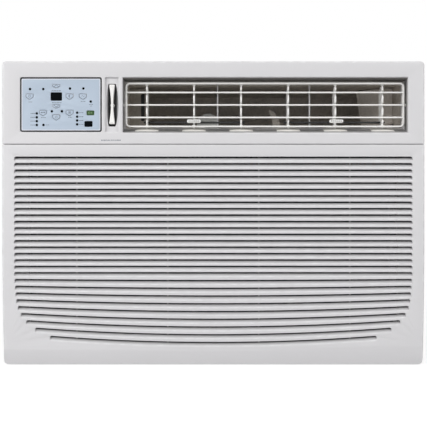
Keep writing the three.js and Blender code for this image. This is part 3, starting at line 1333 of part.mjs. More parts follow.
function evaporatorCoil() {
  return box(-COIL_HALF, COIL_HALF, COIL_Y0, COIL_Y1, COIL_Z0, COIL_Z1);
}

// A tray under the evaporator, with low supports that the coil stands on.
function drainTray() {
  const half = COIL_HALF + TRAY_MARGIN;
  const [y0, y1] = [COIL_Y0 - TRAY_FRONT - TRAY_WALL, COIL_Y1 + SCROLL_GAP - TRAY_WALL];
  const outer = box(-half, half, y0, y1, DECK_Z, TRAY_Z1);
  const w = TRAY_WALL;
  const inner = box(-half + w, half - w, y0 + w, y1 - w, DECK_Z + w, TRAY_Z1 + OVER);
  const wide = TRAY_SUPPORT / 2;
  const supports = evenly(3, COIL_HALF * 0.9).map((x) =>
    box(x - wide, x + wide, COIL_Y0 + OVER, COIL_Y1 - OVER, DECK_Z + SINK, COIL_Z0 - CLEAR),
  );
  return join([outer.subtract(inner), ...supports]);
}

function condenserCoil() {
  return box(-CONDENSER_HALF, CONDENSER_HALF, CONDENSER_Y0, CONDENSER_Y1, DECK_Z, CONDENSER_Z1);
}

// ---------------------------------------------------------------- blower

// The scroll opens out with the angle round the fan axis, from the cut-off on its left.
function scrollRadius(turn) {
  return WHEEL_RADIUS + SCROLL_CLEAR + SCROLL_WIDEN * turn;
}

// Inside outline in x, z: the spiral round the wheel, joined to the plenum behind the outlet.
function scrollOutline(wall) {
  const floor = OPEN_FOOT_Z + OUTLET_RISE - wall;
  const [x0, x1] = [OUTLET_X0 - wall, OUTLET_X1 + wall];
  const steps = 20;
  const start = 140; // degrees: the cut-off, above the wheel on its left
  const end = 390;
  const points = [];
  for (let i = 0; i <= steps; i++) {
    const angle = THREE.MathUtils.degToRad(start + ((end - start) * i) / steps);
    const r = scrollRadius(i / steps) + wall;
    points.push([FAN_X + r * Math.cos(angle), FAN_Z + r * Math.sin(angle)]);
  }
  const [firstX] = points[0];
  const [lastX, lastZ] = points[points.length - 1];
  const flare = Math.min(lastX + (floor - lastZ) * 0.45, x1 - 1);
  return polygon([
    [firstX, floor],
    ...points,
    [flare, floor],
    [x1, floor + (x1 - flare) * 0.3],
    [x1, PLENUM_Z1 + wall],
    [x0, PLENUM_Z1 + wall],
    [x0, floor],
  ]);
}

function blowerScroll() {
  const outer = prism('y', scrollOutline(SCROLL_WALL), SCROLL_Y0, SCROLL_Y1);
  const inner = prism('y', scrollOutline(0), SCROLL_Y0 - OVER, SCROLL_Y1 - SCROLL_WALL);
  const shaft = rod('y', FAN_X, FAN_Z, SHAFT_RADIUS + SHAFT_HOLE, SCROLL_Y0, SCROLL_Y1 + OVER);
  const [z0, z1] = [OPEN_FOOT_Z + OUTLET_RISE, OPEN_TOP_Z];
  const y0 = RIM_Y + CLEAR;
  const w = SCROLL_WALL;
  const ductOuter = box(OUTLET_X0 - w, OUTLET_X1 + w, y0, SCROLL_Y0 + SINK, z0 - w, z1 + w);
  const duct = box(OUTLET_X0, OUTLET_X1, y0 - OVER, SCROLL_Y0 + OVER, z0, z1);
  return outer.subtract(inner).subtract(shaft).add(ductOuter.subtract(duct));
}

// The plate that closes the scroll's front below the duct, with the blower's round inlet.
function blowerOrifice() {
  const floor = OPEN_FOOT_Z + OUTLET_RISE - SCROLL_WALL - CLEAR;
  const y0 = SCROLL_Y0 + CLEAR;
  const y1 = y0 + ORIFICE_THICK;
  const radius = WHEEL_INNER - ORIFICE_LAP;
  const plate = prism('y', scrollOutline(-CLEAR), y0, y1).intersect(box(-WIDTH, WIDTH, y0, y1, 0, floor));
  const lip = rod('y', FAN_X, FAN_Z, radius + ORIFICE_LIP, y0 + OVER, WHEEL_Y0 + ORIFICE_LAP, 28);
  const inlet = rod('y', FAN_X, FAN_Z, radius, y0 - OVER, WHEEL_Y0 + ORIFICE_LAP + OVER, 28);
  return plate.add(lip).subtract(inlet);
}

function blowerWheel() {
  const round = (radius, y0, y1) => rod('y', FAN_X, FAN_Z, radius, y0, y1, WHEEL_BLADES);
  const disc = round(WHEEL_RADIUS, WHEEL_Y1 - WHEEL_DISC, WHEEL_Y1);
  const hubRadius = SHAFT_RADIUS + WHEEL_HUB;
  const hub = rod('y', FAN_X, FAN_Z, hubRadius, WHEEL_Y1 - WHEEL_HUB_LENGTH, WHEEL_Y1 + WHEEL_HUB);
  const ring = round(WHEEL_RADIUS, WHEEL_Y0, WHEEL_Y0 + WHEEL_RING);
  const eye = round(WHEEL_INNER + 2 * OVER, WHEEL_Y0 - OVER, WHEEL_Y0 + WHEEL_RING + OVER);
  const bore = rod('y', FAN_X, FAN_Z, SHAFT_RADIUS + CLEAR, WHEEL_Y0, WHEEL_Y1 + WHEEL_HUB + OVER);
  return join([disc, hub, ring.subtract(eye), ...wheelBlades()]).subtract(bore);
}

// The blades stand in the ring between the wheel's inner and outer radius, all leaning one way.
function wheelBlades() {
  const half = BLADE_SHEET / 2;
  const length = WHEEL_RADIUS - WHEEL_INNER - 2 * SCROLL_WALL;
  const blade = box(-half, half, WHEEL_Y0 + SINK, WHEEL_Y1 - SINK, 0, length).rotate([0, BLADE_LEAN, 0]);
  return Array.from({ length: WHEEL_BLADES }, (_, i) =>
    blade
      .translate([0, 0, WHEEL_INNER + SCROLL_WALL / 2])
      .rotate([0, (360 * i) / WHEEL_BLADES, 0])
      .translate([FAN_X, 0, FAN_Z]),
  );
}

// ---------------------------------------------------------------- condenser fan, shaft and motor

// A blade is a twisted, cambered plate between the hub and the slinger ring.
function fanBlade(turn) {
  const inner = FAN_HUB - FAN_HUB_INSET;
  const outer = FAN_RADIUS + OVER;
  const geometry = new THREE.BoxGeometry(outer - inner, FAN_SHEET, 1, 4, 1, 2);
  const position = geometry.attributes.position;
  for (let i = 0; i < position.count; i++) {
    const t = position.getX(i) / (outer - inner) + 0.5;
    const across = position.getZ(i);
    const chord = FAN_ROOT_CHORD + (FAN_TIP_CHORD - FAN_ROOT_CHORD) * t;
    const pitch = THREE.MathUtils.degToRad(34 - 16 * t);
    const camber = FAN_CAMBER * (1 - 4 * across * across);
    const radius = inner + (outer - inner) * t;
    const along = across * chord;
    const lift = -along * Math.sin(pitch) + camber + position.getY(i);
    const angle = (along * Math.cos(pitch)) / Math.max(radius, FAN_HUB) + turn;
    position.setXYZ(i, radius * Math.cos(angle), lift, radius * Math.sin(angle));
  }
  return solid(geometry.translate(FAN_X, (FAN_Y0 + FAN_Y1) / 2, FAN_Z));
}

function condenserFan() {
  const middle = (FAN_Y0 + FAN_Y1) / 2;
  const hub = rod('y', FAN_X, FAN_Z, FAN_HUB, FAN_Y0 + FAN_HUB_INSET, FAN_Y1 - FAN_HUB_INSET, 16);
  const quarter = FAN_WIDTH / 4;
  const ring = [
    [FAN_RADIUS, middle - quarter],
    [FAN_RADIUS + SLINGER, middle - quarter],
    [FAN_RADIUS + SLINGER, middle + quarter],
    [FAN_RADIUS, middle + quarter],
    [FAN_RADIUS, middle - quarter],
  ];
  const slinger = turned(ring, FAN_X, 0, FAN_Z, true, 28);
  const blades = Array.from({ length: FAN_BLADES }, (_, i) => fanBlade((i * 2 * Math.PI) / FAN_BLADES));
  const bore = rod('y', FAN_X, FAN_Z, SHAFT_RADIUS + CLEAR, FAN_Y0 - OVER, FAN_Y1 + OVER);
  return join([hub, slinger, ...blades]).subtract(bore);
}

function fanShaft() {
  return rod('y', FAN_X, FAN_Z, SHAFT_RADIUS, WHEEL_Y1 - SHAFT_FRONT, FAN_Y1 + SHAFT_END);
}

function fanMotor() {
  const bore = SHAFT_RADIUS + RUNNING / 2;
  const boss = bore + MOTOR_SHOULDER;
  const r = MOTOR_RADIUS;
  const shoulder = MOTOR_SHOULDER;
  const [y0, y1] = [MOTOR_Y0, MOTOR_Y1];
  const profile = [
    [bore, y0 - MOTOR_BOSS],
    [boss, y0 - MOTOR_BOSS],
    [boss + OVER, y0],
    [r - shoulder, y0],
    [r, y0 + shoulder],
    [r, y1 - shoulder],
    [r - shoulder, y1],
    [boss + OVER, y1],
    [boss, y1 + MOTOR_BOSS],
    [bore, y1 + MOTOR_BOSS],
    [bore, y0 - MOTOR_BOSS],
  ];
  return turned(profile, FAN_X, 0, FAN_Z, true);
}

// A bent plate from the pan up to a saddle under the motor.
function motorMount() {
  const r = MOTOR_RADIUS + 2 * CLEAR;
  const side = r + MOUNT_LEG;
  const foot = MOTOR_RADIUS + MOUNT_FOOT;
  const top = FAN_Z - r * 0.35;
  const outline = polygon([
    [FAN_X - foot, DECK_Z],
    [FAN_X + foot, DECK_Z],
    [FAN_X + foot, DECK_Z + MOUNT_SHEET],
    [FAN_X + side, DECK_Z + 2 * MOUNT_SHEET],
    [FAN_X + side, top],
    [FAN_X - side, top],
    [FAN_X - side, DECK_Z + 2 * MOUNT_SHEET],
    [FAN_X - foot, DECK_Z + MOUNT_SHEET],
  ]);
  const middle = (MOTOR_Y0 + MOTOR_Y1) / 2;
  const [y0, y1] = [middle - MOUNT_WIDTH / 2, middle + MOUNT_WIDTH / 2];
  const saddle = rod('y', FAN_X, FAN_Z, r, y0 - OVER, y1 + OVER, 24);
  const open = r * 0.72;
  const [z0, z1] = [DECK_Z + 3 * MOUNT_SHEET, FAN_Z - r - 4 * MOUNT_SHEET];
  const window = box(FAN_X - open, FAN_X + open, y0 - OVER, y1 + OVER, z0, z1);
  return prism('y', outline, y0, y1).subtract(saddle).subtract(window);
}

// A box between the fan and the condenser, with a round mouth and a ring in front of it.
function condenserShroud() {
  const half = CONDENSER_HALF;
  const w = SHROUD_WALL;
  const outer = box(-half, half, SHROUD_Y0, SHROUD_Y1, DECK_Z, CONDENSER_Z1);
  const inner = box(-half + w, half - w, SHROUD_Y0 + w, SHROUD_Y1 + OVER, DECK_Z - OVER, CONDENSER_Z1 - w);
  const ring = FAN_RADIUS + SLINGER + FAN_TIP;
  const front = SHROUD_Y0 - SHROUD_LIP;
  const mouth = rod('y', FAN_X, FAN_Z, ring, front - OVER, SHROUD_Y0 + w + OVER, 32);
  const lip = rod('y', FAN_X, FAN_Z, ring + w, front, SHROUD_Y0 + OVER, 32);
  return outer.subtract(inner).add(lip).subtract(mouth).trimByPlane([0, 0, 1], DECK_Z);
}

// A flat grid over the condenser, on four corner posts.
function rearGuard() {
  const half = CONDENSER_HALF;
  const [z0, z1] = [PAN_Z0 + PAN_RIM + RUNNING, CONDENSER_Z1];
  const wide = (2 * (half - GUARD_EDGE) + GUARD_BAR) / GUARD_COLUMNS;
  const high = (z1 - z0 - 2 * GUARD_EDGE + GUARD_BAR) / GUARD_ROWS;
  const windows = [];
  for (let column = 0; column < GUARD_COLUMNS; column++) {
    for (let row = 0; row < GUARD_ROWS; row++) {
      const x = -half + GUARD_EDGE + column * wide;
      const z = z0 + GUARD_EDGE + row * high;
      const far = [x + wide - GUARD_BAR, z + high - GUARD_BAR];
      windows.push(box(x, far[0], GUARD_Y0 - OVER, GUARD_Y1 + OVER, z, far[1]));
    }
  }
  const plate = prism('y', roundedRectangle(-half, half, z0, z1, GUARD_CORNER), GUARD_Y0, GUARD_Y1);
  return join([plate.subtract(join(windows)), ...guardPosts(half - GUARD_POST_INSET, z0, z1)]);
}

function guardPosts(side, z0, z1) {
  const [wide, high] = [GUARD_POST / 2, GUARD_POST / 4];
  return [-side, side].flatMap((x) =>
    [z0 + GUARD_EDGE / 2, z1 - GUARD_EDGE / 2].map((z) =>
      box(x - wide, x + wide, CONDENSER_Y1 + CLEAR, GUARD_Y0 + OVER, z - high, z + high),
    ),
  );
}

// ---------------------------------------------------------------- compressor and pipes

const FOOT_TURNS = [0, 120, 240]; // degrees

function footPlaces() {
  return FOOT_TURNS.map((deg) => {
    const angle = THREE.MathUtils.degToRad(deg);
    return [COMPRESSOR_X + FOOT_CIRCLE * Math.cos(angle), COMPRESSOR_Y + FOOT_CIRCLE * Math.sin(angle)];
  });
}

function compressor() {
  const r = COMPRESSOR_RADIUS;
  const h = COMPRESSOR_HEIGHT;
  const profile = [
    [0, r * 0.1],
    [r * 0.6, r * 0.1],
    [r, r * 0.4],
    [r, h - r * 0.57],
    [r * 0.85, h - r * 0.23],
    [r * 0.45, h - r * 0.03],
    [0, h],
  ];
  const shell = turned(profile, COMPRESSOR_X, COMPRESSOR_Y, COMPRESSOR_Z0);
  const base = rod('z', COMPRESSOR_X, COMPRESSOR_Y, r * 0.6, COMPRESSOR_Z0, COMPRESSOR_Z0 + r * 0.2, 24);
  return join([shell, base, ...footArms(), accumulatorStrap()]).trimByPlane([0, 0, 1], COMPRESSOR_Z0);
}

// Arms of the plate under the compressor, one to each foot.
function footArms() {
  const reach = FOOT_CIRCLE + FOOT_RADIUS;
  return FOOT_TURNS.map((deg) =>
    box(0, reach, -FOOT_RADIUS, FOOT_RADIUS, 0, FOOT_SHEET)
      .rotate([0, 0, deg])
      .translate([COMPRESSOR_X, COMPRESSOR_Y, COMPRESSOR_Z0]),
  );
}

// A strap from the compressor that is cut to the accumulator's round side.
function accumulatorStrap() {
  const half = STRAP_WIDTH / 2;
  const z0 = ACCUMULATOR_Z0 + STRAP_LIFT;
  const z1 = z0 + STRAP_THICK;
  const strap = box(ACCUMULATOR_X, COMPRESSOR_X, COMPRESSOR_Y - half, COMPRESSOR_Y + half, z0, z1);
  const radius = ACCUMULATOR_RADIUS + CLEAR;
  return strap.subtract(rod('z', ACCUMULATOR_X, COMPRESSOR_Y, radius, z0 - OVER, z1 + OVER, 20));
}

function terminalCover() {
  const r = COVER_RADIUS;
  const h = COVER_HEIGHT;
  const profile = [[0, 0], [r, 0], [r, h * 0.7], [r * 0.67, h * 0.95], [0, h]];
  return turned(profile, COMPRESSOR_X - r, COMPRESSOR_Y, COMPRESSOR_Z1 + CLEAR, false, 12);
}

// A rubber foot with a groove round its middle.
function rubberFoot([x, y]) {
  const r = FOOT_RADIUS;
  const h = FOOT_HEIGHT;
  const profile = [[0, 0], [r, 0], [r, h * 0.4], [r * 0.7, h * 0.5], [r, h * 0.6], [r, h], [0, h]];
  return turned(profile, x, y, DECK_Z, false, 12);
}

// A vessel with domed ends, and a pipe from its foot to the compressor.
function accumulator() {
  const r = ACCUMULATOR_RADIUS;
  const h = ACCUMULATOR_HEIGHT;
  const lower = [[0, 0], [r * 0.4, r * 0.08], [r, r * 0.85]];
  const upper = lower.map(([radius, up]) => [radius, h - up]).reverse();
  const profile = [...lower, ...upper];
  const body = turned(profile, ACCUMULATOR_X, COMPRESSOR_Y, ACCUMULATOR_Z0);
  const foot = ACCUMULATOR_Z0 - 4 * PIPE_RADIUS;
  const shell = COMPRESSOR_X - COMPRESSOR_RADIUS;
  const path = [
    [ACCUMULATOR_X, COMPRESSOR_Y, ACCUMULATOR_Z0 + PIPE_RADIUS],
    [ACCUMULATOR_X, COMPRESSOR_Y, foot + 2.4 * PIPE_RADIUS],
    [ACCUMULATOR_X + 2.4 * PIPE_RADIUS, COMPRESSOR_Y, foot],
    [shell - 1.6 * PIPE_RADIUS, COMPRESSOR_Y, foot],
    [shell - CLEAR, COMPRESSOR_Y, foot],
  ];
  return body.add(tube(path, PIPE_RADIUS, 8));
}

// The first bends of a pipe, from the evaporator's side through the bulkhead.
function fromEvaporator(z) {
  const y = (COIL_Y0 + COIL_Y1) / 2;
  const bend = 2.4 * PIPE_RADIUS;
  return [
    [-COIL_HALF - BRAZE, y, z],
    [-COIL_HALF - PIPE_SIDE + bend, y, z],
    [PIPE_X, y + bend, z],
    [PIPE_X, y + 2 * bend, z],
    [PIPE_X, BULKHEAD_Y + bend, z],
  ];
}

// The last bends of a pipe, beside the shroud and into the condenser's side.
function toCondenser(z, side) {
  const x = -CONDENSER_HALF - side;
  const y = (CONDENSER_Y0 + CONDENSER_Y1) / 2;
  return [
    [x, CONDENSER_Y0, z],
    [-CONDENSER_HALF - PIPE_RADIUS, y, z],
    [-CONDENSER_HALF - BRAZE, y, z],
  ];
}

// Through the bulkhead, up the accumulator's side and into its top.
function suctionPipe() {
  const arch = 1.4 * ACCUMULATOR_RADIUS;
  const path = [
    ...fromEvaporator(SUCTION_Z),
    [PIPE_X, BULKHEAD_Y + arch, SUCTION_Z + 0.6 * arch],
    [PIPE_X, COMPRESSOR_Y - 2 * ACCUMULATOR_RADIUS, ACCUMULATOR_Z1 - arch],
    [ACCUMULATOR_X, COMPRESSOR_Y - ACCUMULATOR_RADIUS, ACCUMULATOR_Z1 + arch],
    [ACCUMULATOR_X, COMPRESSOR_Y, ACCUMULATOR_Z1 + ACCUMULATOR_RADIUS],
    [ACCUMULATOR_X, COMPRESSOR_Y, ACCUMULATOR_Z1 + BRAZE],
  ];
  return tube(path, PIPE_RADIUS, 16);
}

// Through the bulkhead and along the pan's side to the condenser's foot.
function liquidPipe() {
  const x = PIPE_X - PIPE_RADIUS;
  const path = [
    ...fromEvaporator(LIQUID_Z),
    [x, COMPRESSOR_Y + 2 * ACCUMULATOR_RADIUS, LIQUID_Z - ACCUMULATOR_RADIUS],
    [x, SHROUD_Y0, LIQUID_Z],
    ...toCondenser(LIQUID_Z, 2 * PIPE_RADIUS),
  ];
  return tube(path, LIQUID_RADIUS, 16);
}

// From the compressor's shoulder, up and back to the condenser's side.
function dischargePipe() {
  const x = COMPRESSOR_X + 0.3 * COMPRESSOR_RADIUS;
  const z = COMPRESSOR_Z1 + 0.6 * COMPRESSOR_RADIUS;
  const path = [
    [x, COMPRESSOR_Y, COMPRESSOR_Z1 + CLEAR],
    [x, COMPRESSOR_Y, COMPRESSOR_Z1 + 0.3 * COMPRESSOR_RADIUS],
    [x, COMPRESSOR_Y + 0.5 * COMPRESSOR_RADIUS, z],
    [COMPRESSOR_X - 0.8 * COMPRESSOR_RADIUS, COMPRESSOR_Y + COMPRESSOR_RADIUS, z],
    [-CONDENSER_HALF - 2 * PIPE_RADIUS, SHROUD_Y0, z],
    ...toCondenser(z, 2 * PIPE_RADIUS),
  ];
  return tube(path, DISCHARGE_RADIUS, 16);
}

// ---------------------------------------------------------------- controls behind the panel

// A sheet steel box, open at the front, that hangs behind the control panel.
function controlBox() {
  const s = BOX_SHEET;
  const outer = box(BOX_X0, BOX_X1, BOX_Y0, BOX_Y1, BOX_Z0, BOX_Z1);
  const inner = box(BOX_X0 + s, BOX_X1 - s, BOX_Y0 - OVER, BOX_Y1 - s, BOX_Z0 + s, BOX_Z1 - s);
  const [x0, x1] = [BOX_X0 + BOX_STRIP, BOX_X1 - BOX_STRIP];
  const strip = box(x0, x1, BOX_Y1 - OVER, BULKHEAD_Y - CLEAR, BOX_Z1 - s, BOX_Z1);
  return outer.subtract(inner).add(strip);
}

function controlBoard() {
  const s = BOX_SHEET + CLEAR;
  const y0 = BOX_Y0 + BOX_BOARD;
  return box(BOX_X0 + s, BOX_X1 - s, y0, y0 + BOARD_THICK, BOX_Z0 + s, BOX_Z1 - s);
}

function runCapacitor() {
  const x = (BOX_X0 + BOX_X1) / 2;
  const r = CAPACITOR_RADIUS;
  const h = CAPACITOR_HEIGHT;
  const y = BOX_Y1 - BOX_SHEET - r - CLEAR;
  const z = BOX_Z0 + BOX_SHEET + CLEAR;
  return turned([[0, 0], [r, 0], [r, h * 0.97], [r * 0.86, h], [0, h]], x, y, z);
}

// A strip along the top that ties the bulkhead to the condenser's shroud.
function topBrace() {
  const x = (COMPRESSOR_X + FAN_X) / 2;
  const y0 = BULKHEAD_Y + BULKHEAD_SHEET + CLEAR;
  const y1 = SHROUD_Y0 + TOP_BRACE_LAP;
  const half = TOP_BRACE_WIDTH / 2;
  const z = CONDENSER_Z1 + CLEAR;
  const strip = box(x - half, x + half, y0, y1, z, z + SHEET);
  const tail = box(x - half, x + half, y0, y0 + SHEET, z - TOP_BRACE_TAIL, z + SHEET);
  return strip.add(tail);
}

node('cabinet_wrap', cabinetWrap(), FINISH.cabinet);
node('cabinet_base', cabinetBase(), FINISH.galvanised);
node('base_pan', basePan(), FINISH.galvanised);
node('bulkhead', bulkhead(), FINISH.galvanised);
node('evaporator_coil', evaporatorCoil(), FINISH.aluminium);
node('drain_tray', drainTray(), FINISH.foam);
node('condenser_coil', condenserCoil(), FINISH.aluminium);
node('condenser_shroud', condenserShroud(), FINISH.galvanised);
node('rear_guard', rearGuard(), FINISH.blackPaint);
node('blower_scroll', blowerScroll(), FINISH.ductFoam);
node('blower_orifice', blowerOrifice(), FINISH.darkPlastic);
node('blower_wheel', blowerWheel(), FINISH.darkPlastic);
node('condenser_fan', condenserFan(), FINISH.darkPlastic);
node('fan_shaft', fanShaft(), FINISH.steel);
node('fan_motor', fanMotor(), FINISH.steel);
node('motor_mount', motorMount(), FINISH.galvanised);
node('compressor', compressor(), FINISH.blackPaint);
node('terminal_cover', terminalCover(), FINISH.darkPlastic);
node('accumulator', accumulator(), FINISH.blackPaint);
footPlaces().forEach((place, i) => node(`compressor_foot_${i + 1}`, rubberFoot(place), FINISH.rubber));
node('suction_pipe', suctionPipe(), FINISH.copper);
node('liquid_pipe', liquidPipe(), FINISH.copper);
node('discharge_pipe', dischargePipe(), FINISH.copper);
node('control_box', controlBox(), FINISH.galvanised);
node('control_board', controlBoard(), FINISH.board);
node('run_capacitor', runCapacitor(), FINISH.aluminium);
node('top_brace', topBrace(), FINISH.galvanised);

export default part;
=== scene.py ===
"""Window air conditioner: fine shapes, finishes, light and camera."""
import json
import math

import bmesh
import bpy
from mathutils import Matrix, Vector


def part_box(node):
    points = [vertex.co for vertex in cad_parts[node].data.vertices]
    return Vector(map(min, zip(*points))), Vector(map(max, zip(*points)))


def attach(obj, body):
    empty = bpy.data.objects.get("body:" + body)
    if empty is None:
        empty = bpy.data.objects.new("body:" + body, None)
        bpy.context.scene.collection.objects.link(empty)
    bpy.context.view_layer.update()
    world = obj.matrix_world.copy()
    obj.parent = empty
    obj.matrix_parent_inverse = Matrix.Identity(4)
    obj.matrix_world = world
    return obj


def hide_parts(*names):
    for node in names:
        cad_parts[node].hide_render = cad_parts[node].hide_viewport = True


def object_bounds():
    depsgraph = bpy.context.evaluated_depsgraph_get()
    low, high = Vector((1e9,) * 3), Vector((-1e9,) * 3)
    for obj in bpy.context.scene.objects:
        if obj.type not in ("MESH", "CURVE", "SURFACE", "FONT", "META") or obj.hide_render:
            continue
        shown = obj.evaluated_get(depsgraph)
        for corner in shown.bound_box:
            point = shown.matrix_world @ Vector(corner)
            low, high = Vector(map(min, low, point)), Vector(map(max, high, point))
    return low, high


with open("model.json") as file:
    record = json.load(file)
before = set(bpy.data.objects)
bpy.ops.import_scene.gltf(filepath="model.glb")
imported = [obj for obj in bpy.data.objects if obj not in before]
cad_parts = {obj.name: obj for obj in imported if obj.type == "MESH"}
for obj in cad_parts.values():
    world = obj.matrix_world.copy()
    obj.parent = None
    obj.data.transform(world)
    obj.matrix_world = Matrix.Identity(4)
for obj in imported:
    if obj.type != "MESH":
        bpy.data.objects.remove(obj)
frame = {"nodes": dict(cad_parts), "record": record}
CAD_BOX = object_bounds()
RECORD = frame["record"]
NODES = frame["nodes"]
BODY_OF = {node: body for body, nodes in RECORD["behaviour"]["bodies"].items() for node in nodes}
SLOT_OF = {part["node"]: part["material_slot"] for part in RECORD["subparts"]}
MM = 0.001


def span(node):
    """A node's lowest and highest corner in millimetres."""
    low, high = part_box(node)
    return [v / MM for v in low], [v / MM for v in high]


def middle(node):
    """The middle of a node's box in millimetres."""
    return [(a + b) / 2 for a, b in zip(*span(node))]


# -------------------- finishes

FLOAT, COLOR, VECTOR = "NodeSocketFloat", "NodeSocketColor", "NodeSocketVector"
GREY = (0.8, 0.8, 0.8, 1)
# Colour of dust on faces that look up, and of the painted shade on the front mouldings' up-facing faces.
DUST_AND_SHADE = (0.36, 0.34, 0.31, 1)
SOIL = (0.09, 0.08, 0.07, 1)
TARNISH = (0.16, 0.13, 0.11, 1)
SHADE = (0.045, 0.042, 0.04, 1)


def new_group(name, outputs, **inputs):
    """A shader node group; an input's kind follows its value, and the output Color is a colour."""
    tree = bpy.data.node_groups.new(name, "ShaderNodeTree")
    for label, value in inputs.items():
        kind = FLOAT if isinstance(value, float) else COLOR if len(value) == 4 else VECTOR
        item = tree.interface.new_socket(label.replace("_", " "), in_out="INPUT", socket_type=kind)
        item.default_value = value
    for label in outputs:
        kind = COLOR if label == "Color" else FLOAT
        tree.interface.new_socket(label, in_out="OUTPUT", socket_type=kind)
    return tree, tree.nodes.new("NodeGroupInput").outputs, tree.nodes.new("NodeGroupOutput").inputs


def feed(tree, socket, value):
    """Gives an input a link from another socket, or a plain value."""
    if isinstance(value, bpy.types.NodeSocket):
        tree.links.new(value, socket)
    else:
        socket.default_value = value


def add(tree, kind, numbered=(), **values):
    """Adds a node; numbered feeds inputs by place, values set properties or feed inputs by name."""
    node = tree.nodes.new(kind)
    for key, value in values.items():
        if hasattr(node, key):
            setattr(node, key, value)
    for key, value in values.items():
        if not hasattr(node, key):
            feed(tree, node.inputs[key.replace("_", " ")], value)
    for place, value in enumerate(numbered):
        feed(tree, node.inputs[place], value)
    return node


def mixed(tree, factor, a, b, blend="MIX"):
    """Mixes two colours by a factor."""
    node = add(tree, "ShaderNodeMix", data_type="RGBA", blend_type=blend)
    for place, value in ((0, factor), (6, a), (7, b)):
        feed(tree, node.inputs[place], value)
    return node.outputs[2]


def maths(tree, operation, first, *others, clamp=False):
    """Applies an operation to values in turn; clamp holds the last result within 0..1."""
    for other in others:
        node = add(tree, "ShaderNodeMath", (first, other), operation=operation)
        first = node.outputs[0]
    node.use_clamp = clamp
    return first


def ramped(tree, source, low, high):
    """Maps a value between low and high to 0..1, clamped."""
    return add(tree, "ShaderNodeMapRange", Value=source, From_Min=low, From_Max=high).outputs["Result"]


def noise(tree, vector, scale, detail=3.0):
    return add(tree, "ShaderNodeTexNoise", Vector=vector, Scale=scale, Detail=detail).outputs["Fac"]


def swung(tree, value, amount, base, clamp=False):
    """A base moved up and down by a texture value that lies about one half."""
    swing = maths(tree, "MULTIPLY", maths(tree, "SUBTRACT", value, 0.5), amount)
    return maths(tree, "ADD", swing, base, clamp=clamp)


def toned(tree, color, level):
    """A colour made lighter or darker by a level about one."""
    grey = add(tree, "ShaderNodeCombineColor", Red=level, Green=level, Blue=level)
    return mixed(tree, 1.0, color, grey.outputs[0], "MULTIPLY")


def object_place(tree):
    return tree.nodes.new("ShaderNodeTexCoord").outputs["Object"]


def grain_group():
    """Fine grain, cloudy colour and uneven gloss of moulding or paint, with dust where it faces up; on
    the front mouldings the same darkening is set high to paint shade on faces that look up.
    """
    tree, given, out = new_group(
        "Surface grain", ("Color", "Roughness", "Height"),
        Color=GREY, Roughness=0.5, Grain_size=900.0, Cloud=0.03, Gloss_change=0.08, Dust=0.0)
    place = object_place(tree)
    streak = noise(tree, place, 55.0)
    tinted = toned(tree, given["Color"], swung(tree, noise(tree, place, 6.0), given["Cloud"], 1.0))
    normal = tree.nodes.new("ShaderNodeNewGeometry").outputs["Normal"]
    up = add(tree, "ShaderNodeSeparateXYZ", Vector=normal).outputs["Z"]
    lying, patch = ramped(tree, up, 0.55, 1.0), ramped(tree, streak, 0.35, 0.75)
    # The Dust input darkens faces that look up: real dust, and on the front mouldings painted shade as
    # well.
    settled_dust_and_shade = maths(tree, "MULTIPLY", lying, patch, given["Dust"])
    rough = swung(tree, streak, given["Gloss change"], given["Roughness"])
    feed(tree, out["Color"], mixed(tree, settled_dust_and_shade, tinted, DUST_AND_SHADE))
    dusty_and_shaded = maths(tree, "MULTIPLY", settled_dust_and_shade, 0.4)
    feed(tree, out["Roughness"], maths(tree, "ADD", rough, dusty_and_shaded, clamp=True))
    feed(tree, out["Height"], noise(tree, place, given["Grain size"], 2.0))
    return tree


def wear_group():
    """Rubs the edges lighter or darker where the piece's edge attribute says so: wear on paint and
    plastic, and on the white mouldings a painted highlight.
    """
    tree, given, out = new_group("Edges rubbed and highlit", ("Color", "Mask"),
                                 Color=GREY, Worn_color=(0.9, 0.9, 0.9, 1), Amount=0.4)
    edge = add(tree, "ShaderNodeAttribute", attribute_name="edge").outputs["Fac"]
    patch = ramped(tree, noise(tree, object_place(tree), 70.0, 4.0), 0.42, 0.68)
    mask = maths(tree, "MULTIPLY", edge, patch, given["Amount"], clamp=True)
    feed(tree, out["Color"], mixed(tree, mask, given["Color"], given["Worn color"]))
    feed(tree, out["Mask"], mask)
    return tree


def spangle_group():
    """The crystal pattern of zinc-coated sheet, with water marks."""
    tree, given, out = new_group("Zinc spangle", ("Color", "Roughness", "Height"),
                                 Color=(0.6, 0.6, 0.6, 1), Roughness=0.4, Contrast=0.25)
    place = object_place(tree)
    cells = add(tree, "ShaderNodeTexVoronoi", Vector=place, Scale=95.0)
    value = add(tree, "ShaderNodeSeparateColor", Color=cells.outputs["Color"]).outputs["Red"]
    level = swung(tree, value, 0.6, noise(tree, place, 14.0, 5.0))
    feed(tree, out["Color"], toned(tree, given["Color"], swung(tree, level, given["Contrast"], 1.0)))
    feed(tree, out["Roughness"], swung(tree, value, 0.16, given["Roughness"], clamp=True))
    feed(tree, out["Height"], level)
    return tree


def bead_group():
    """Packed beads of expanded foam, each a little domed, with soiling between them."""
    tree, given, out = new_group("Foam beads", ("Color", "Height"), Color=GREY, Bead_size=260.0, Soil=0.3)
    place = object_place(tree)
    cells = add(tree, "ShaderNodeTexVoronoi", Vector=place, Scale=given["Bead size"])
    distance = cells.outputs["Distance"]
    between = maths(tree, "MULTIPLY", ramped(tree, distance, 0.3, 0.8), given["Soil"])
    cloud = maths(tree, "MULTIPLY", ramped(tree, noise(tree, place, 18.0, 5.0), 0.4, 0.8), given["Soil"])
    soiled = maths(tree, "ADD", between, cloud, clamp=True)
    feed(tree, out["Color"], mixed(tree, soiled, given["Color"], SOIL))
    feed(tree, out["Height"], maths(tree, "SUBTRACT", 1.0, distance))
    return tree


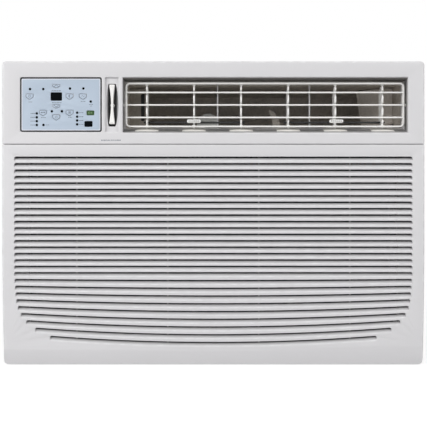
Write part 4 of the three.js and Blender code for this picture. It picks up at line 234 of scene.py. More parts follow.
def brushed_group():
    """Fine drawn lines along one direction, for rolled or drawn metal."""
    tree, given, out = new_group("Drawn lines", ("Color", "Roughness", "Height"),
                                 Color=(0.6, 0.6, 0.6, 1), Roughness=0.35, Stretch=(4.0, 4.0, 900.0),
                                 Tarnish=0.2)
    place = object_place(tree)
    stretched = add(tree, "ShaderNodeVectorMath", (place, given["Stretch"]), operation="MULTIPLY")
    lines = noise(tree, stretched.outputs[0], 1.0, 2.0)
    patch = ramped(tree, noise(tree, place, 30.0, 5.0), 0.42, 0.75)
    dull = maths(tree, "MULTIPLY", patch, given["Tarnish"])
    rough = maths(tree, "ADD", given["Roughness"], dull)
    feed(tree, out["Color"], mixed(tree, dull, given["Color"], TARNISH))
    feed(tree, out["Roughness"], swung(tree, lines, 0.25, rough, clamp=True))
    feed(tree, out["Height"], lines)
    return tree


def depth_shade_group():
    """Paints shade on a moulding behind its face and inside its outer walls, darker with depth, where the
    slots and recesses lie in shade.
    """
    tree, given, out = new_group("Painted shade by depth", ("Color",), Color=GREY, Amount=0.5, Start=-0.344,
                                 Reach=0.006, End=-0.315)
    place = object_place(tree)
    x, y, z = add(tree, "ShaderNodeSeparateXYZ", Vector=place).outputs
    begun = maths(tree, "DIVIDE", maths(tree, "SUBTRACT", y, given["Start"]), given["Reach"], clamp=True)
    ended = maths(tree, "DIVIDE", maths(tree, "SUBTRACT", given["End"], y), 0.01, clamp=True)
    across = maths(tree, "ABSOLUTE", x, 0.0)
    # From none to full, in metres: at the sides, the top and the underside.
    limits = ((across, 0.320, 0.314), (z, 0.468, 0.462), (z, 0.018, 0.026))
    patch = maths(tree, "ADD", maths(tree, "MULTIPLY", noise(tree, place, 40.0), 0.4), 0.8)
    mask = maths(tree, "MULTIPLY", begun, ended, *[ramped(tree, *limit) for limit in limits], patch,
                 given["Amount"], clamp=True)
    feed(tree, out["Color"], mixed(tree, mask, given["Color"], SHADE))
    return tree


GRAIN, DEPTH_SHADE, EDGE_WEAR_AND_HIGHLIGHT = grain_group(), depth_shade_group(), wear_group()
SPANGLE, BEADS, BRUSHED = spangle_group(), bead_group(), brushed_group()


def linear(color):
    """A colour given as screen values 0..255, in the linear form that shaders take."""
    def one(value):
        value /= 255
        return value / 12.92 if value <= 0.04045 else ((value + 0.055) / 1.055) ** 2.4
    return (*[one(value) for value in color], 1)


def shader(name, metallic=0.0, specular=0.5, bump=0.1, depth=0.0002):
    """A material with a Principled shader and a Bump node: material, tree, and the inputs of both."""
    material = bpy.data.materials.new(name)
    material.use_nodes = True
    material.diffuse_color = GREY
    tree = material.node_tree
    surface = tree.nodes["Principled BSDF"].inputs
    surface["Metallic"].default_value = metallic
    surface["Specular IOR Level"].default_value = specular
    relief = add(tree, "ShaderNodeBump", Strength=bump, Distance=depth)
    tree.links.new(relief.outputs["Normal"], surface["Normal"])
    return material, tree, surface, relief.inputs


def placed(tree, group, **values):
    """The outputs of a shared group set into a material."""
    node = add(tree, "ShaderNodeGroup", node_tree=group)
    for key, value in values.items():
        feed(tree, node.inputs[key.replace("_", " ")], value)
    return node.outputs


def plastic(name, color, roughness, grain=900.0, cloud=0.04, dust_and_shade=0.0, edge_wear_and_highlight=None, depth_shade=None, **look):
    """Plastic, rubber or paint; the edge colour and amount rub the edges, as wear and, on the white
    mouldings, as a painted highlight; the depth shade gives an amount, start and reach of painted shade
    behind the face.
    """
    material, tree, surface, relief = shader(name, **{"bump": 0.12, **look})
    base = placed(tree, GRAIN, Color=linear(color), Roughness=roughness, Grain_size=grain, Cloud=cloud,
                  Dust=dust_and_shade)
    tint = base["Color"]
    if depth_shade:
        tint = placed(tree, DEPTH_SHADE, Color=tint, Amount=depth_shade[0], Start=depth_shade[1], Reach=depth_shade[2])["Color"]
    if edge_wear_and_highlight:
        tint = placed(tree, EDGE_WEAR_AND_HIGHLIGHT, Color=tint, Worn_color=linear(edge_wear_and_highlight[0]), Amount=edge_wear_and_highlight[1])["Color"]
    feed(tree, surface["Base Color"], tint)
    feed(tree, surface["Roughness"], base["Roughness"])
    feed(tree, relief["Height"], base["Height"])
    return material


def grouped(name, group, values, rough=0.5, **look):
    """A material made of one shared group; rough counts where the group gives no roughness."""
    material, tree, surface, relief = shader(name, **look)
    outputs = placed(tree, group, **values)
    feed(tree, surface["Base Color"], outputs["Color"])
    feed(tree, surface["Roughness"], outputs["Roughness"] if "Roughness" in outputs else rough)
    feed(tree, relief["Height"], outputs["Height"])
    return material


def foam(name, color, beads=260.0, soil=0.25):
    values = {"Color": linear(color), "Bead_size": beads, "Soil": soil}
    return grouped(name, BEADS, values, 0.9, specular=0.25, bump=0.35, depth=0.0006)


def drawn_metal(name, color, roughness, stretch, tarnish):
    values = {"Color": linear(color), "Roughness": roughness, "Stretch": stretch, "Tarnish": tarnish}
    return grouped(name, BRUSHED, values, metallic=1.0, bump=0.06)


def circuit(name):
    """A green circuit board with lighter tracks and dull gold pads."""
    material, tree, surface, relief = shader(name, bump=0.3)
    place = object_place(tree)
    bricks = add(tree, "ShaderNodeTexBrick", Vector=place, Scale=140.0, Mortar_Size=0.012,
                 Color1=linear((30, 84, 48)), Color2=linear((36, 96, 56)),
                 Mortar=linear((64, 128, 78))).outputs
    pads = add(tree, "ShaderNodeTexVoronoi", Vector=place, Scale=210.0).outputs["Distance"]
    tint = mixed(tree, ramped(tree, pads, 0.22, 0.16), bricks["Color"], linear((176, 150, 84)))
    feed(tree, surface["Base Color"], tint)
    feed(tree, surface["Roughness"], 0.35)
    feed(tree, relief["Height"], bricks["Fac"])
    return material


# Light edge colour of the white mouldings: a painted highlight on their edges and the slats' noses.
WHITE_EDGE = (246, 246, 248)
ZINC = {"Color": linear((172, 175, 178)), "Roughness": 0.42, "Contrast": 0.3}
FINISH = {
    # The front moulding's dust amount also paints shade on faces that look up, its lighter edges are a
    # painted highlight, and its depth shade paints the shade in the recesses behind its face.
    "front_moulding": plastic("Front moulding", (222, 221, 223), 0.42, cloud=0.015, dust_and_shade=0.32,
                              edge_wear_and_highlight=(WHITE_EDGE, 0.45), depth_shade=(0.6, -0.3405, 0.006)),
    "louver_moulding": plastic("Louvre moulding", (250, 249, 246), 0.34, cloud=0.02,
                               edge_wear_and_highlight=(WHITE_EDGE, 0.3)),
    "panel_overlay": plastic("Panel overlay", (186, 200, 216), 0.38, grain=1600.0, cloud=0.02, bump=0.04,
                             edge_wear_and_highlight=((228, 232, 240), 0.9)),
    "dark_window": plastic("Dark window", (5, 9, 12), 0.16, bump=0.02, specular=0.05),
    "green_lens": plastic("Green lens", (58, 88, 50), 0.3, bump=0.03, specular=0.3),
    "circuit_board": circuit("Circuit board"),
    "cabinet_paint": plastic("Cabinet paint", (206, 206, 203), 0.48, grain=2200.0, dust_and_shade=0.09, bump=0.2,
                             edge_wear_and_highlight=((150, 150, 150), 0.5)),
    "galvanised": grouped("Galvanised sheet", SPANGLE, ZINC, metallic=0.9, bump=0.08),
    "fins": drawn_metal("Coil fins", (198, 201, 204), 0.38, (6.0, 6.0, 500.0), 0.25),
    "aluminium": drawn_metal("Plain aluminium", (200, 202, 205), 0.36, (500.0, 500.0, 6.0), 0.15),
    "steel": drawn_metal("Plain steel", (166, 168, 172), 0.32, (6.0, 700.0, 6.0), 0.25),
    "copper": drawn_metal("Copper tube", (196, 122, 84), 0.3, (40.0, 40.0, 40.0), 0.45),
    "foam": foam("White foam", (228, 226, 220)),
    "duct_foam": foam("Duct foam", (224, 217, 208), soil=0.12),
    "dark_plastic": plastic("Black plastic", (44, 45, 47), 0.5, cloud=0.15, dust_and_shade=0.25, bump=0.2),
    "black_paint": plastic("Black paint", (30, 31, 33), 0.36, grain=500.0, cloud=0.2, dust_and_shade=0.3, bump=0.25,
                           edge_wear_and_highlight=((96, 90, 84), 0.6)),
    "rubber": plastic("Rubber", (30, 30, 30), 0.75, grain=700.0, cloud=0.25, dust_and_shade=0.2, bump=0.35),
    "filter_mesh": plastic("Filter thread", (52, 54, 57), 0.6, grain=1400.0, cloud=0.2, dust_and_shade=0.4),
}
# The grille's dust amount also paints shade on the slopes of its slats, its lighter edges are a painted
# highlight on the slats' noses, and its depth shade paints the shade inside the slots.
GRILLE_MOULDING = plastic("Grille moulding", (223, 222, 224), 0.42, cloud=0.015, dust_and_shade=0.3,
                          edge_wear_and_highlight=(WHITE_EDGE, 0.45), depth_shade=(0.66, -0.3442, 0.0055))
PRINT_GREY = plastic("Grey print", (96, 104, 118), 0.45, bump=0.03)
LAMP_BLACK = plastic("Lamp window", (6, 9, 14), 0.35, bump=0.03, specular=0.08)
PALE_PRINT = plastic("Pale print", (150, 178, 132), 0.4, bump=0.02)
PALE_LINE = plastic("Pale line", (226, 228, 236), 0.4, bump=0.02)
# Whiter copy of the front moulding for the outlet's flange and floor landings: painted light.
MOULDING_PAINTED_LIGHT = plastic("Whiter moulding painted light", (244, 242, 238), 0.5, dust_and_shade=0.1)
# Grey copy of the front moulding for the finger well's side walls: painted shade.
WALL_SHADE_GREY = plastic("Painted shade of the well walls", (168, 168, 170), 0.5, bump=0.1)
# Dark grey sheet for the floor of the finger well: painted shade.
WELL_SHADE_PAD = plastic("Painted shade for the well floor", (84, 84, 86), 0.7, bump=0.1)
# Grey foam strip for the outlet's ceiling: painted shade under the lip.
SHADE_STRIP = foam("Painted shade strip", (138, 136, 133), beads=700.0)
BOSS_FOAM = foam("Boss foam", (204, 206, 204), soil=0.06)
# Darker copy of the duct foam for the left cheek and the floor fin: painted shade.
FOAM_PAINTED_SHADE = foam("Shaded copy of duct foam", (196, 190, 182), soil=0.14)
# Lighter copy of the duct foam for the right cheek: painted light.
FOAM_PAINTED_LIGHT = foam("Lit copy of duct foam", (246, 240, 233), soil=0.06)
SCREW_METAL = drawn_metal("Screw metal", (178, 178, 176), 0.3, (300.0, 300.0, 300.0), 0.3)

# -------------------- mesh tools, in millimetres


def shown(name, data):
    """A new object in the scene."""
    item = bpy.data.objects.new(name, data)
    bpy.context.scene.collection.objects.link(item)
    return item


def moved(item, x, y, z):
    """Moves an object's mesh, in millimetres."""
    item.data.transform(Matrix.Translation((x * MM, y * MM, z * MM)))
    return item


def made(name, vertices, faces):
    """An object whose mesh is given in millimetres."""
    mesh = bpy.data.meshes.new(name)
    mesh.from_pydata([tuple(c * MM for c in v) for v in vertices], [], faces)
    mesh.validate()
    return outward(shown(name, mesh))


def outward(item):
    """Merges doubled points and turns every face outwards."""
    body = bmesh.new()
    body.from_mesh(item.data)
    bmesh.ops.remove_doubles(body, verts=body.verts, dist=1e-6)
    bmesh.ops.recalc_face_normals(body, faces=body.faces)
    body.to_mesh(item.data)
    body.free()
    return item


def lofted(rings, closed_ends=True):
    """Vertices and faces of a body through rings of points, each ring of the same length."""
    count = len(rings[0])
    faces = []
    for i in range(len(rings) - 1):
        for j in range(count):
            k = (j + 1) % count
            faces.append((i * count + j, i * count + k, (i + 1) * count + k, (i + 1) * count + j))
    if closed_ends:
        faces.append(tuple(reversed(range(count))))
        faces.append(tuple(range((len(rings) - 1) * count, len(rings) * count)))
    return [point for ring in rings for point in ring], faces


def loft(name, rings):
    return made(name, *lofted(rings))


def along_x(section, *places):
    """Rings of a y, z section at places along x."""
    return [[(x, y, z) for y, z in section] for x in places]


def along_y(outline, *places):
    """Rings of an x, z outline at places along y."""
    return [[(x, y, z) for x, z in outline] for y in places]


def block(name, x0, x1, y0, y1, z0, z1):
    return loft(name, along_y([(x0, z0), (x1, z0), (x1, z1), (x0, z1)], y0, y1))


def arc(cx, cy, radius, start, end, steps):
    points = []
    for i in range(steps + 1):
        angle = math.radians(start + (end - start) * i / steps)
        points.append((cx + radius * math.cos(angle), cy + radius * math.sin(angle)))
    return points


def rounded(x0, x1, z0, z1, radius, steps=6):
    """A rectangle with round corners, anticlockwise from its lower right corner."""
    r = max(radius, 0.05)
    return (arc(x1 - r, z0 + r, r, -90, 0, steps) + arc(x1 - r, z1 - r, r, 0, 90, steps)
            + arc(x0 + r, z1 - r, r, 90, 180, steps) + arc(x0 + r, z0 + r, r, 180, 270, steps))


def spread(steps):
    """Even steps from -1 to 1."""
    return [-1 + 2 * i / steps for i in range(steps + 1)]


def grown(box, grow, radius, steps=6):
    """A rounded rectangle from a box x0, x1, z0, z1, made larger all round."""
    x0, x1, z0, z1 = box
    return rounded(x0 - grow, x1 + grow, z0 - grow, z1 + grow, radius, steps)


def on_axis(axis, along, p, q):
    """A point along an axis; p and q are its place on the two other axes."""
    return {"x": (along, p, q), "y": (p, along, q), "z": (p, q, along)}[axis]


def cylinder(axis, a, b, radius, start, end, sides=24):
    """Rings of a round bar along an axis; a and b are its place on the two other axes."""
    circle = arc(a, b, radius, 0, 360 - 360 / sides, sides - 1)
    return [[on_axis(axis, along, p, q) for p, q in circle] for along in (start, end)]


def bar(name, axis, a, b, radius, start, end, sides=24):
    return loft(name, cylinder(axis, a, b, radius, start, end, sides))


def lathe(name, axis, a, b, profile, sides=48):
    """A turned body from a profile of radius and place along the axis, its ends on the axis."""
    return loft(name, [cylinder(axis, a, b, max(radius, 0.02), along, along, sides)[0]
                       for radius, along in profile])


def pipe(name, path, radius, sides=12):
    """A round tube along a path, its rings kept from twisting."""
    points = [Vector(p) for p in path]
    side = None
    rings = []
    for i, point in enumerate(points):
        ahead = points[min(i + 1, len(points) - 1)] - points[max(i - 1, 0)]
        ahead.normalize()
        if side is None:
            side = ahead.orthogonal().normalized()
        side = (side - ahead * side.dot(ahead)).normalized()
        other = ahead.cross(side)
        rings.append([tuple(point + (side * math.cos(t) + other * math.sin(t)) * radius)
                      for t in (2 * math.pi * k / sides for k in range(sides))])
    return loft(name, rings)


def joined(name, *items):
    """Joins separate bodies into one mesh without cutting them."""
    body = bmesh.new()
    for item in items:
        body.from_mesh(item.data)
    mesh = bpy.data.meshes.new(name)
    body.to_mesh(mesh)
    body.free()
    for item in items:
        bpy.data.objects.remove(item)
    return shown(name, mesh)


def applied(item):
    """Turns an object's modifiers into its own mesh."""
    view = bpy.context.evaluated_depsgraph_get()
    mesh = bpy.data.meshes.new_from_object(item.evaluated_get(view))
    item.modifiers.clear()
    item.data = mesh
    return item


def carve(item, tool, operation="DIFFERENCE"):
    """Adds or cuts a tool with the exact solver, then removes the tool."""
    step = item.modifiers.new("carve", "BOOLEAN")
    step.operation = operation
    step.solver = "EXACT"
    step.object = tool
    applied(item)
    bpy.data.objects.remove(tool)
    return item


def softened(item, width, angle=40.0):
    """Rounds every edge sharper than the angle."""
    step = item.modifiers.new("round", "BEVEL")
    step.width = width * MM
    step.segments = 2
    step.limit_method = "ANGLE"
    step.angle_limit = math.radians(angle)
    step.use_clamp_overlap = True
    return applied(item)


FLAT_TURN, BENT_TURN = 0.03, 0.15  # radians between faces of one flat patch, and at a real edge


def edge_marked(item, narrow=1.6):
    """Writes the edge attribute: 1 on the narrow faces along an edge, 0 elsewhere."""
    body = bmesh.new()
    body.from_mesh(item.data)
    body.faces.ensure_lookup_table()
    values = [0.0] * len(body.faces)
    seen = set()
    for start in body.faces:
        if start.index in seen:
            continue
        seen.add(start.index)
        flat, waiting, bent = [], [start], False
        while waiting:
            face = waiting.pop()
            flat.append(face)
            for edge in face.edges:
                turned = edge.calc_face_angle(0.0) if len(edge.link_faces) == 2 else 0.0
                bent = bent or turned > BENT_TURN
                if turned < FLAT_TURN:
                    for other in edge.link_faces:
                        if other.index not in seen:
                            seen.add(other.index)
                            waiting.append(other)
        points = [corner.co for face in flat for corner in face.verts]
        reach = math.hypot(*(max(p[k] for p in points) - min(p[k] for p in points) for k in range(3)))
        if bent and sum(face.calc_area() for face in flat) < reach * narrow * MM:
            for face in flat:
                values[face.index] = 1.0
    values = [values[face.index] for face in body.faces for _ in face.verts]
    body.free()
    layer = item.data.attributes.new("edge", "FLOAT", "CORNER")
    layer.data.foreach_set("value", values)
    return item


def extra(item, body, slot, finish=None, angle=32.0):
    """Finishes a piece, with its slot's finish unless another is given, its edges sharp past the angle,
    and gives it its body.
    """
    item.data.materials.clear()
    item.data.materials.append(finish or FINISH[slot])
    item.data.polygons.foreach_set("use_smooth", [True] * len(item.data.polygons))
    item.data.set_sharp_from_angle(angle=math.radians(angle))
    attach(item, body)


def fitted(item, node, angle=32.0, finish=None):
    """A finished piece that stands for a node and rides on its body."""
    extra(item, BODY_OF[node], SLOT_OF[node], finish, angle)
    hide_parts(node)


def assembled(node, parts, angle):
    """Joins a node's finished parts, marks their edges and fits them."""
    fitted(edge_marked(joined(node + "_fine", *parts)), node, angle)


# -------------------- sizes shared by the front's pieces

(_, FACE, FRONT_Z0), (FRONT_X1, RIM, FRONT_Z1) = span("front_frame")
(OVER_X0, OVER_Y0, OVER_Z0), (OVER_X1, OVER_Y1, OVER_Z1) = span("control_overlay")
OVERLAY = (OVER_X0, OVER_X1, OVER_Z0, OVER_Z1)
PANEL = (OVER_X0 - 1.2, OVER_X1 + 1.2, OVER_Z0 - 1.2, OVER_Z1 + 1.2)  # the opening round the overlay
HANDLE_LOW, HANDLE_HIGH = span("vent_handle")
HANDLE_HALF = (HANDLE_HIGH[2] - HANDLE_LOW[2]) / 2
RING = FACE + 40.0  # ring behind the intake grille
SEAM = 345.6  # middle of the gap between band and grille
SEAM_HALF = 0.45
SHELL = 2.6  # wall of the mouldings
PAST = 20  # how far a cutting tool runs past the sides
OPEN_Z0, OPEN_Z1 = PANEL[2:]
OPEN_Z = (OPEN_Z0 + OPEN_Z1) / 2
WELL_X = (HANDLE_LOW[0] + HANDLE_HIGH[0]) / 2
WELL = (WELL_X - 10.55, WELL_X + 10.55)
WELL_DEPTH = 17  # depth of the finger well's mouth
OUTLET = (WELL[1] + 6.2, FRONT_X1 - 25.7)
OUTLET_X = sum(OUTLET) / 2
RISE = 9.0  # rise of the outlet's floor
FLOOR_DROP = 1.2  # how far the outlet's floor lies below the handle's recess
FLOOR_END = 38  # depth at which the floor stops rising
EDGE_ROUND = 3.0
EAR_X = FRONT_X1 - 34  # the grille turns on pegs in two ears
HINGE_Y, HINGE_Z = -311, 8
TAPER_Z = 200  # the front's sides draw in below this height
FOOT = 25.4  # lower end of the grille's slotted field


def side_x(z):
    """Half width of the front at a height."""
    low = max(0.0, 1 - z / TAPER_Z)
    return FRONT_X1 - 3 * low * low


def front_outline(inset, top=None):
    """The front's outline, drawn inside itself by inset; top cuts it off below the seam."""
    low = FRONT_Z0 + inset
    foot = max(5 - inset, 1.0)
    right = arc(side_x(low + foot) - inset - foot, low + foot, foot, -90, 0, 7)
    heights = [low + foot + (TAPER_Z - low - foot) * i / 9 for i in range(1, 10)]
    right += [(side_x(z) - inset, z) for z in heights]
    if top is None:
        head = max(6 - inset, 1.0)
        right += arc(FRONT_X1 - inset - head, FRONT_Z1 - inset - head, head, 0, 90, 7)
    else:
        right += arc(FRONT_X1 - inset - 1.2, top - inset * 0.4 - 1.2, 1.2, 0, 90, 3)
    return right + [(-x, z) for x, z in reversed(right)]


def rolled(outline_at, radius, steps):
    """Rings of a quarter round from the face back, each outline drawn by what is left of the radius."""
    rings = []
    for i in range(steps + 1):
        angle = math.pi / 2 * i / steps
        depth = radius * (1 - math.cos(angle))
        rings += along_y(outline_at(radius * (1 - math.sin(angle))), FACE + depth)
    return rings


def front_body(name, back, top=None):
    """The whole body of a moulding, its front edge rounded."""
    def outline_at(inset):
        return front_outline(inset, top)
    return loft(name, rolled(outline_at, EDGE_ROUND, 6) + along_y(outline_at(0), back))


def lipped(name, outline_at, back, lip=1.6):
    """A tool that cuts an opening whose edge rolls gently into the face."""
    return loft(name, along_y(outline_at(lip), FACE - 1) + rolled(outline_at, lip, 4)
                + along_y(outline_at(0), back))


# -------------------- front moulding


def outlet_floor(depth):
    """Height of the outlet's sloping floor at a depth behind the face."""
    return OPEN_Z0 - FLOOR_DROP + (RISE + FLOOR_DROP) * max(0.0, depth - SHELL) / (FLOOR_END - SHELL)


def outlet_opening(grow):
    return grown((*OUTLET, OPEN_Z0 - FLOOR_DROP, OPEN_Z1), grow, 2.2 + grow)


def bowed_well(left_bulge, right_bulge, half, ends, steps=14):
    """The finger well beside the handle: narrow at its ends, bowed out at its middle."""
    right, left = [], []
    for t in spread(steps):
        bulge = math.cos(math.pi / 2 * t) ** 0.8 if abs(t) < 1 else 0.0
        right.append((WELL_X + ends + (right_bulge - ends) * bulge, OPEN_Z + half * t))
        left.append((WELL_X - ends - (left_bulge - ends) * bulge, OPEN_Z + half * t))
    return right + left[::-1]


def outlet_space():
    """The outlet's inside: a floor that slopes up behind the lip, and a level ceiling."""
    section = [(FACE + 0.5, outlet_floor(0)), (FACE + SHELL, outlet_floor(0)),
               (FACE + FLOOR_END, OPEN_Z0 + RISE), (RIM + 1, OPEN_Z0 + RISE), (RIM + 1, OPEN_Z1),
               (FACE + 0.5, OPEN_Z1)]
    return loft("outlet space", along_x(section, *OUTLET))


def hollow_front(body):
    """Takes the grille's space and the inside from the body, which leaves the band, walls and ring."""
    wide = FRONT_X1 + PAST
    carve(body, block("below", -wide, wide, FACE - 1, RING, -1, SEAM + SEAM_HALF))
    for y0, z0 in ((FACE, SEAM + SEAM_HALF + SHELL), (RING + SHELL, -1)):
        inside = loft("inner", along_y(front_outline(SHELL), FACE + SHELL, RIM + 1))
        hollow = carve(inside, block("limit", -wide, wide, y0, RIM + 2, z0, FRONT_Z1 + 125), "INTERSECT")
        hollow.name = "hollow"
        carve(body, hollow)
    carve(body, block("intake", -296, 296, RING - 1, RING + SHELL + 1, 21.5, SEAM - 8))


def front_walls(body, pocket_y):
    """The walls behind the outlet, the panel's pocket and the finger well."""
    under = OPEN_Z0 - SHELL
    for (x0, x1), back, low in ((OUTLET, RIM, under - 0.6), (PANEL[:2], pocket_y + SHELL, under),
                                (WELL, FACE + WELL_DEPTH + SHELL, under)):
        walls = block("walls", x0 - SHELL, x1 + SHELL, FACE + 1.5, back, low, OPEN_Z1 + SHELL)
        carve(body, walls, "UNION")


def front_openings(body, pocket_y):
    """The outlet, the panel's pocket and window, the handle's recess and the finger well."""
    carve(body, lipped("outlet", outlet_opening, FACE + 3))
    carve(body, outlet_space())
    carve(body, lipped("panel", lambda grow: grown(PANEL, grow, 3 + grow), pocket_y, 1.2))
    x0, x1, z0, z1 = PANEL
    rim = 6.2  # the ledge that carries the overlay
    carve(body, block("window", x0 + rim, x1 - rim, FACE, pocket_y + 9, z0 + rim, z1 - rim))
    recess = (*WELL, OPEN_Z0, OPEN_Z1)
    carve(body, lipped("recess", lambda grow: grown(recess, grow, 0.8 + grow, 3), FACE + 4, 1.0))
    carve(body, block("caption seat", WELL_X - 17.4, WELL_X + 15.2, FACE - 1, FACE + 0.1, 350.4, 352.8))
    half = HANDLE_HALF + 1.5
    rings = along_y(bowed_well(8.6, 10.0, half, 5.6), FACE + 3, FACE + 4, FACE + 14)
    rings += along_y(bowed_well(8.4, 9.2, half, 5.4), FACE + WELL_DEPTH + 0.5)
    carve(body, loft("finger well", rings))
    side = rounded(WELL_X - 7.9, WELL_X - 5.0, OPEN_Z - half + 3.5, OPEN_Z + half - 3.5, 1.2, 3)
    carve(body, loft("side slot", along_y(side, FACE + 8, FACE + 22)))
    foot = rounded(WELL_X - 5.2, WELL_X + 5.0, OPEN_Z - half - 0.8, OPEN_Z - half + 2.0, 0.6, 3)
    carve(body, loft("lower notch", along_y(foot, FACE + 3, FACE + 22)))
    carve(body, bar("rod bore", "y", WELL_X, OPEN_Z, 2.4, FACE + 3, RIM + 1))


def front_moulding():
    """The upper band, the side walls and the ring behind the grille, with all openings and fixings."""
    body = front_body("front_moulding", RIM)
    pocket_y = OVER_Y1 + 0.4
    hollow_front(body)
    front_walls(body, pocket_y)
    front_openings(body, pocket_y)
    axis = middle("louver_frame")[2]
    reach = (OUTLET[1] - OUTLET[0]) / 2 + SHELL + 1
    carve(body, bar("pivots", "x", FACE + 19, axis, 2.9, OUTLET_X - reach, OUTLET_X + reach))
    third = (OUTLET[1] - OUTLET[0]) / 3
    for x in (OUTLET_X - third / 2, OUTLET_X + third / 2):
        outline = rounded(x - 1, x + 1, OPEN_Z0 + RISE - 0.5, OPEN_Z1 + 0.5, 0.4, 2)
        carve(body, loft("brace", along_y(outline, RIM - 8, RIM)), "UNION")
    board_y = span("display_board")[0][1]
    inset = 3.7  # of the display board's bosses
    for x in (PANEL[0] + inset, PANEL[1] - inset):
        for z in (PANEL[2] + inset, PANEL[3] - inset):
            carve(body, bar("boss", "y", x, z, 2.1, pocket_y + 1.3, board_y - 0.4, 16), "UNION")
    ear = [(RING + 1.3, 2.0), (RING + 1.3, 14.0)] + arc(HINGE_Y, HINGE_Z, 6, 90, 270, 12)
    for x in (-EAR_X, EAR_X):
        carve(body, loft("ear", along_x(ear, x - 2, x + 2)), "UNION")
        carve(body, bar("bore", "x", HINGE_Y, HINGE_Z, 4.5, x - 4, x + 4))
    _, y, z = middle("cord_gland")
    gland_low, gland_high = span("cord_gland")
    carve(body, bar("gland", "x", y, z, 6.4, gland_low[0] - 3, gland_high[0]))
    fitted(edge_marked(body), "front_frame", 30)


front_moulding()

# -------------------- intake grille

SLOT_PITCH = 10.02
BOW_PITCH = 12.1
BOWED = 9  # how many slots are bowed
RIBS, RIB_PITCH = 4, 143
SAG = 1.6  # how much more each bowed slot sags than the one above
SLOT_GAP = 2.3
NOSE = 3.4
SLOPE_DEPTH = 5
FULL = FRONT_X1 - 19.0  # half length of the straight slots


def slots():
    """Each slot: middle height, sag, half length and height of the slope below the gap."""
    rows = []
    top = SEAM - 20.7
    straight = 1 + round((top - 35.6 - BOWED * BOW_PITCH) / SLOT_PITCH)
    for i in range(straight):
        rows.append((top - i * SLOT_PITCH, 0.0, FULL, SLOT_PITCH - SLOT_GAP - NOSE))
    last = top - (straight - 1) * SLOT_PITCH
    for i in range(1, BOWED + 1):
        drop = i / BOWED
        shorter = 56 * (0.1 * drop + 0.9 * drop ** 5)
        rows.append((last - i * BOW_PITCH, i * SAG, FULL - shorter, BOW_PITCH - SAG - SLOT_GAP - NOSE))
    return rows


def slot_section(drop, slope):
    """A slot's section: rolled edge of the nose above, the gap, and the slope with its rolled edge."""
    half = SLOT_GAP / 2
    roll, turn = 0.4, 1.0
    depth, back = FACE + SLOPE_DEPTH, FACE + 8
    ceiling = half - drop
    inner = max(ceiling, -half + 0.08)
    points = [(FACE - 1, ceiling + roll)] + arc(FACE + roll, ceiling + roll, roll, 180, 270, 3)
    if drop > 0:
        points[-1] = (points[-1][0], max(points[-1][1], ceiling))
    points += [(depth, max(ceiling, inner)), (back, inner), (back, -half), (depth, -half)]
    low = -half - slope
    length = math.hypot(SLOPE_DEPTH, slope)
    first = (FACE + SLOPE_DEPTH * turn / length, low + slope * turn / length)
    for i in range(4):
        t = i / 3
        y = (1 - t) ** 2 * first[0] + 2 * t * (1 - t) * FACE + t * t * FACE
        z = (1 - t) ** 2 * first[1] + 2 * t * (1 - t) * low + t * t * (low - turn)
        points.append((y, z))
    return points + [(FACE - 1, low - turn)]


def slot_tool(height, sag, half_length, slope):
    """One slot's space, its upper corners rounded and its line bowed where it sags."""
    corner = 3.0
    angles = [math.radians(a) for a in (0, 18, 36, 54, 72, 90)]
    right = [(half_length - corner * (1 - math.cos(a)), corner * (1 - math.sin(a))) for a in angles]
    inner = [(half_length * i / 12 * 0.98, 0.0) for i in range(-12, 13)] if sag else []
    inner = [(x, drop) for x, drop in inner if abs(x) < half_length - corner]
    rings = []
    for x, drop in [(-x, d) for x, d in right] + inner + right[::-1]:
        z = height + sag * (x / FULL) ** 2
        rings.append([(x, y, z + dz) for y, dz in slot_section(min(drop, slope + SLOT_GAP - 0.4), slope)])
    return loft("slot", rings)


def roll_off(inset):
    """What the face loses where it curves back to the lower edge."""
    points = [(FACE - 2 - inset, FRONT_Z0 - 1)]
    for i in range(12, -1, -1):
        t = i / 12
        points.append((FACE + 6 * t * t + inset, 34 - 33.5 * t))
    points.append((FACE - 2 - inset, 34))
    wide = FRONT_X1 + PAST
    return loft("roll off", along_x(points, -wide, wide))


def filter_hook(x, edge, out):
    """An arm that laps the filter, above or below it."""
    back = span("filter_frame")[1][1] + 0.4
    near = edge + out * 0.4
    far = near + out * SHELL
    lip = edge - out * 4
    section = [(FACE + 2, near), (back, near), (back, lip), (back + 1.5, lip), (back + 1.5, far),
               (FACE + 2, far)]
    return loft("hook", along_x(section, x - 8, x + 8))


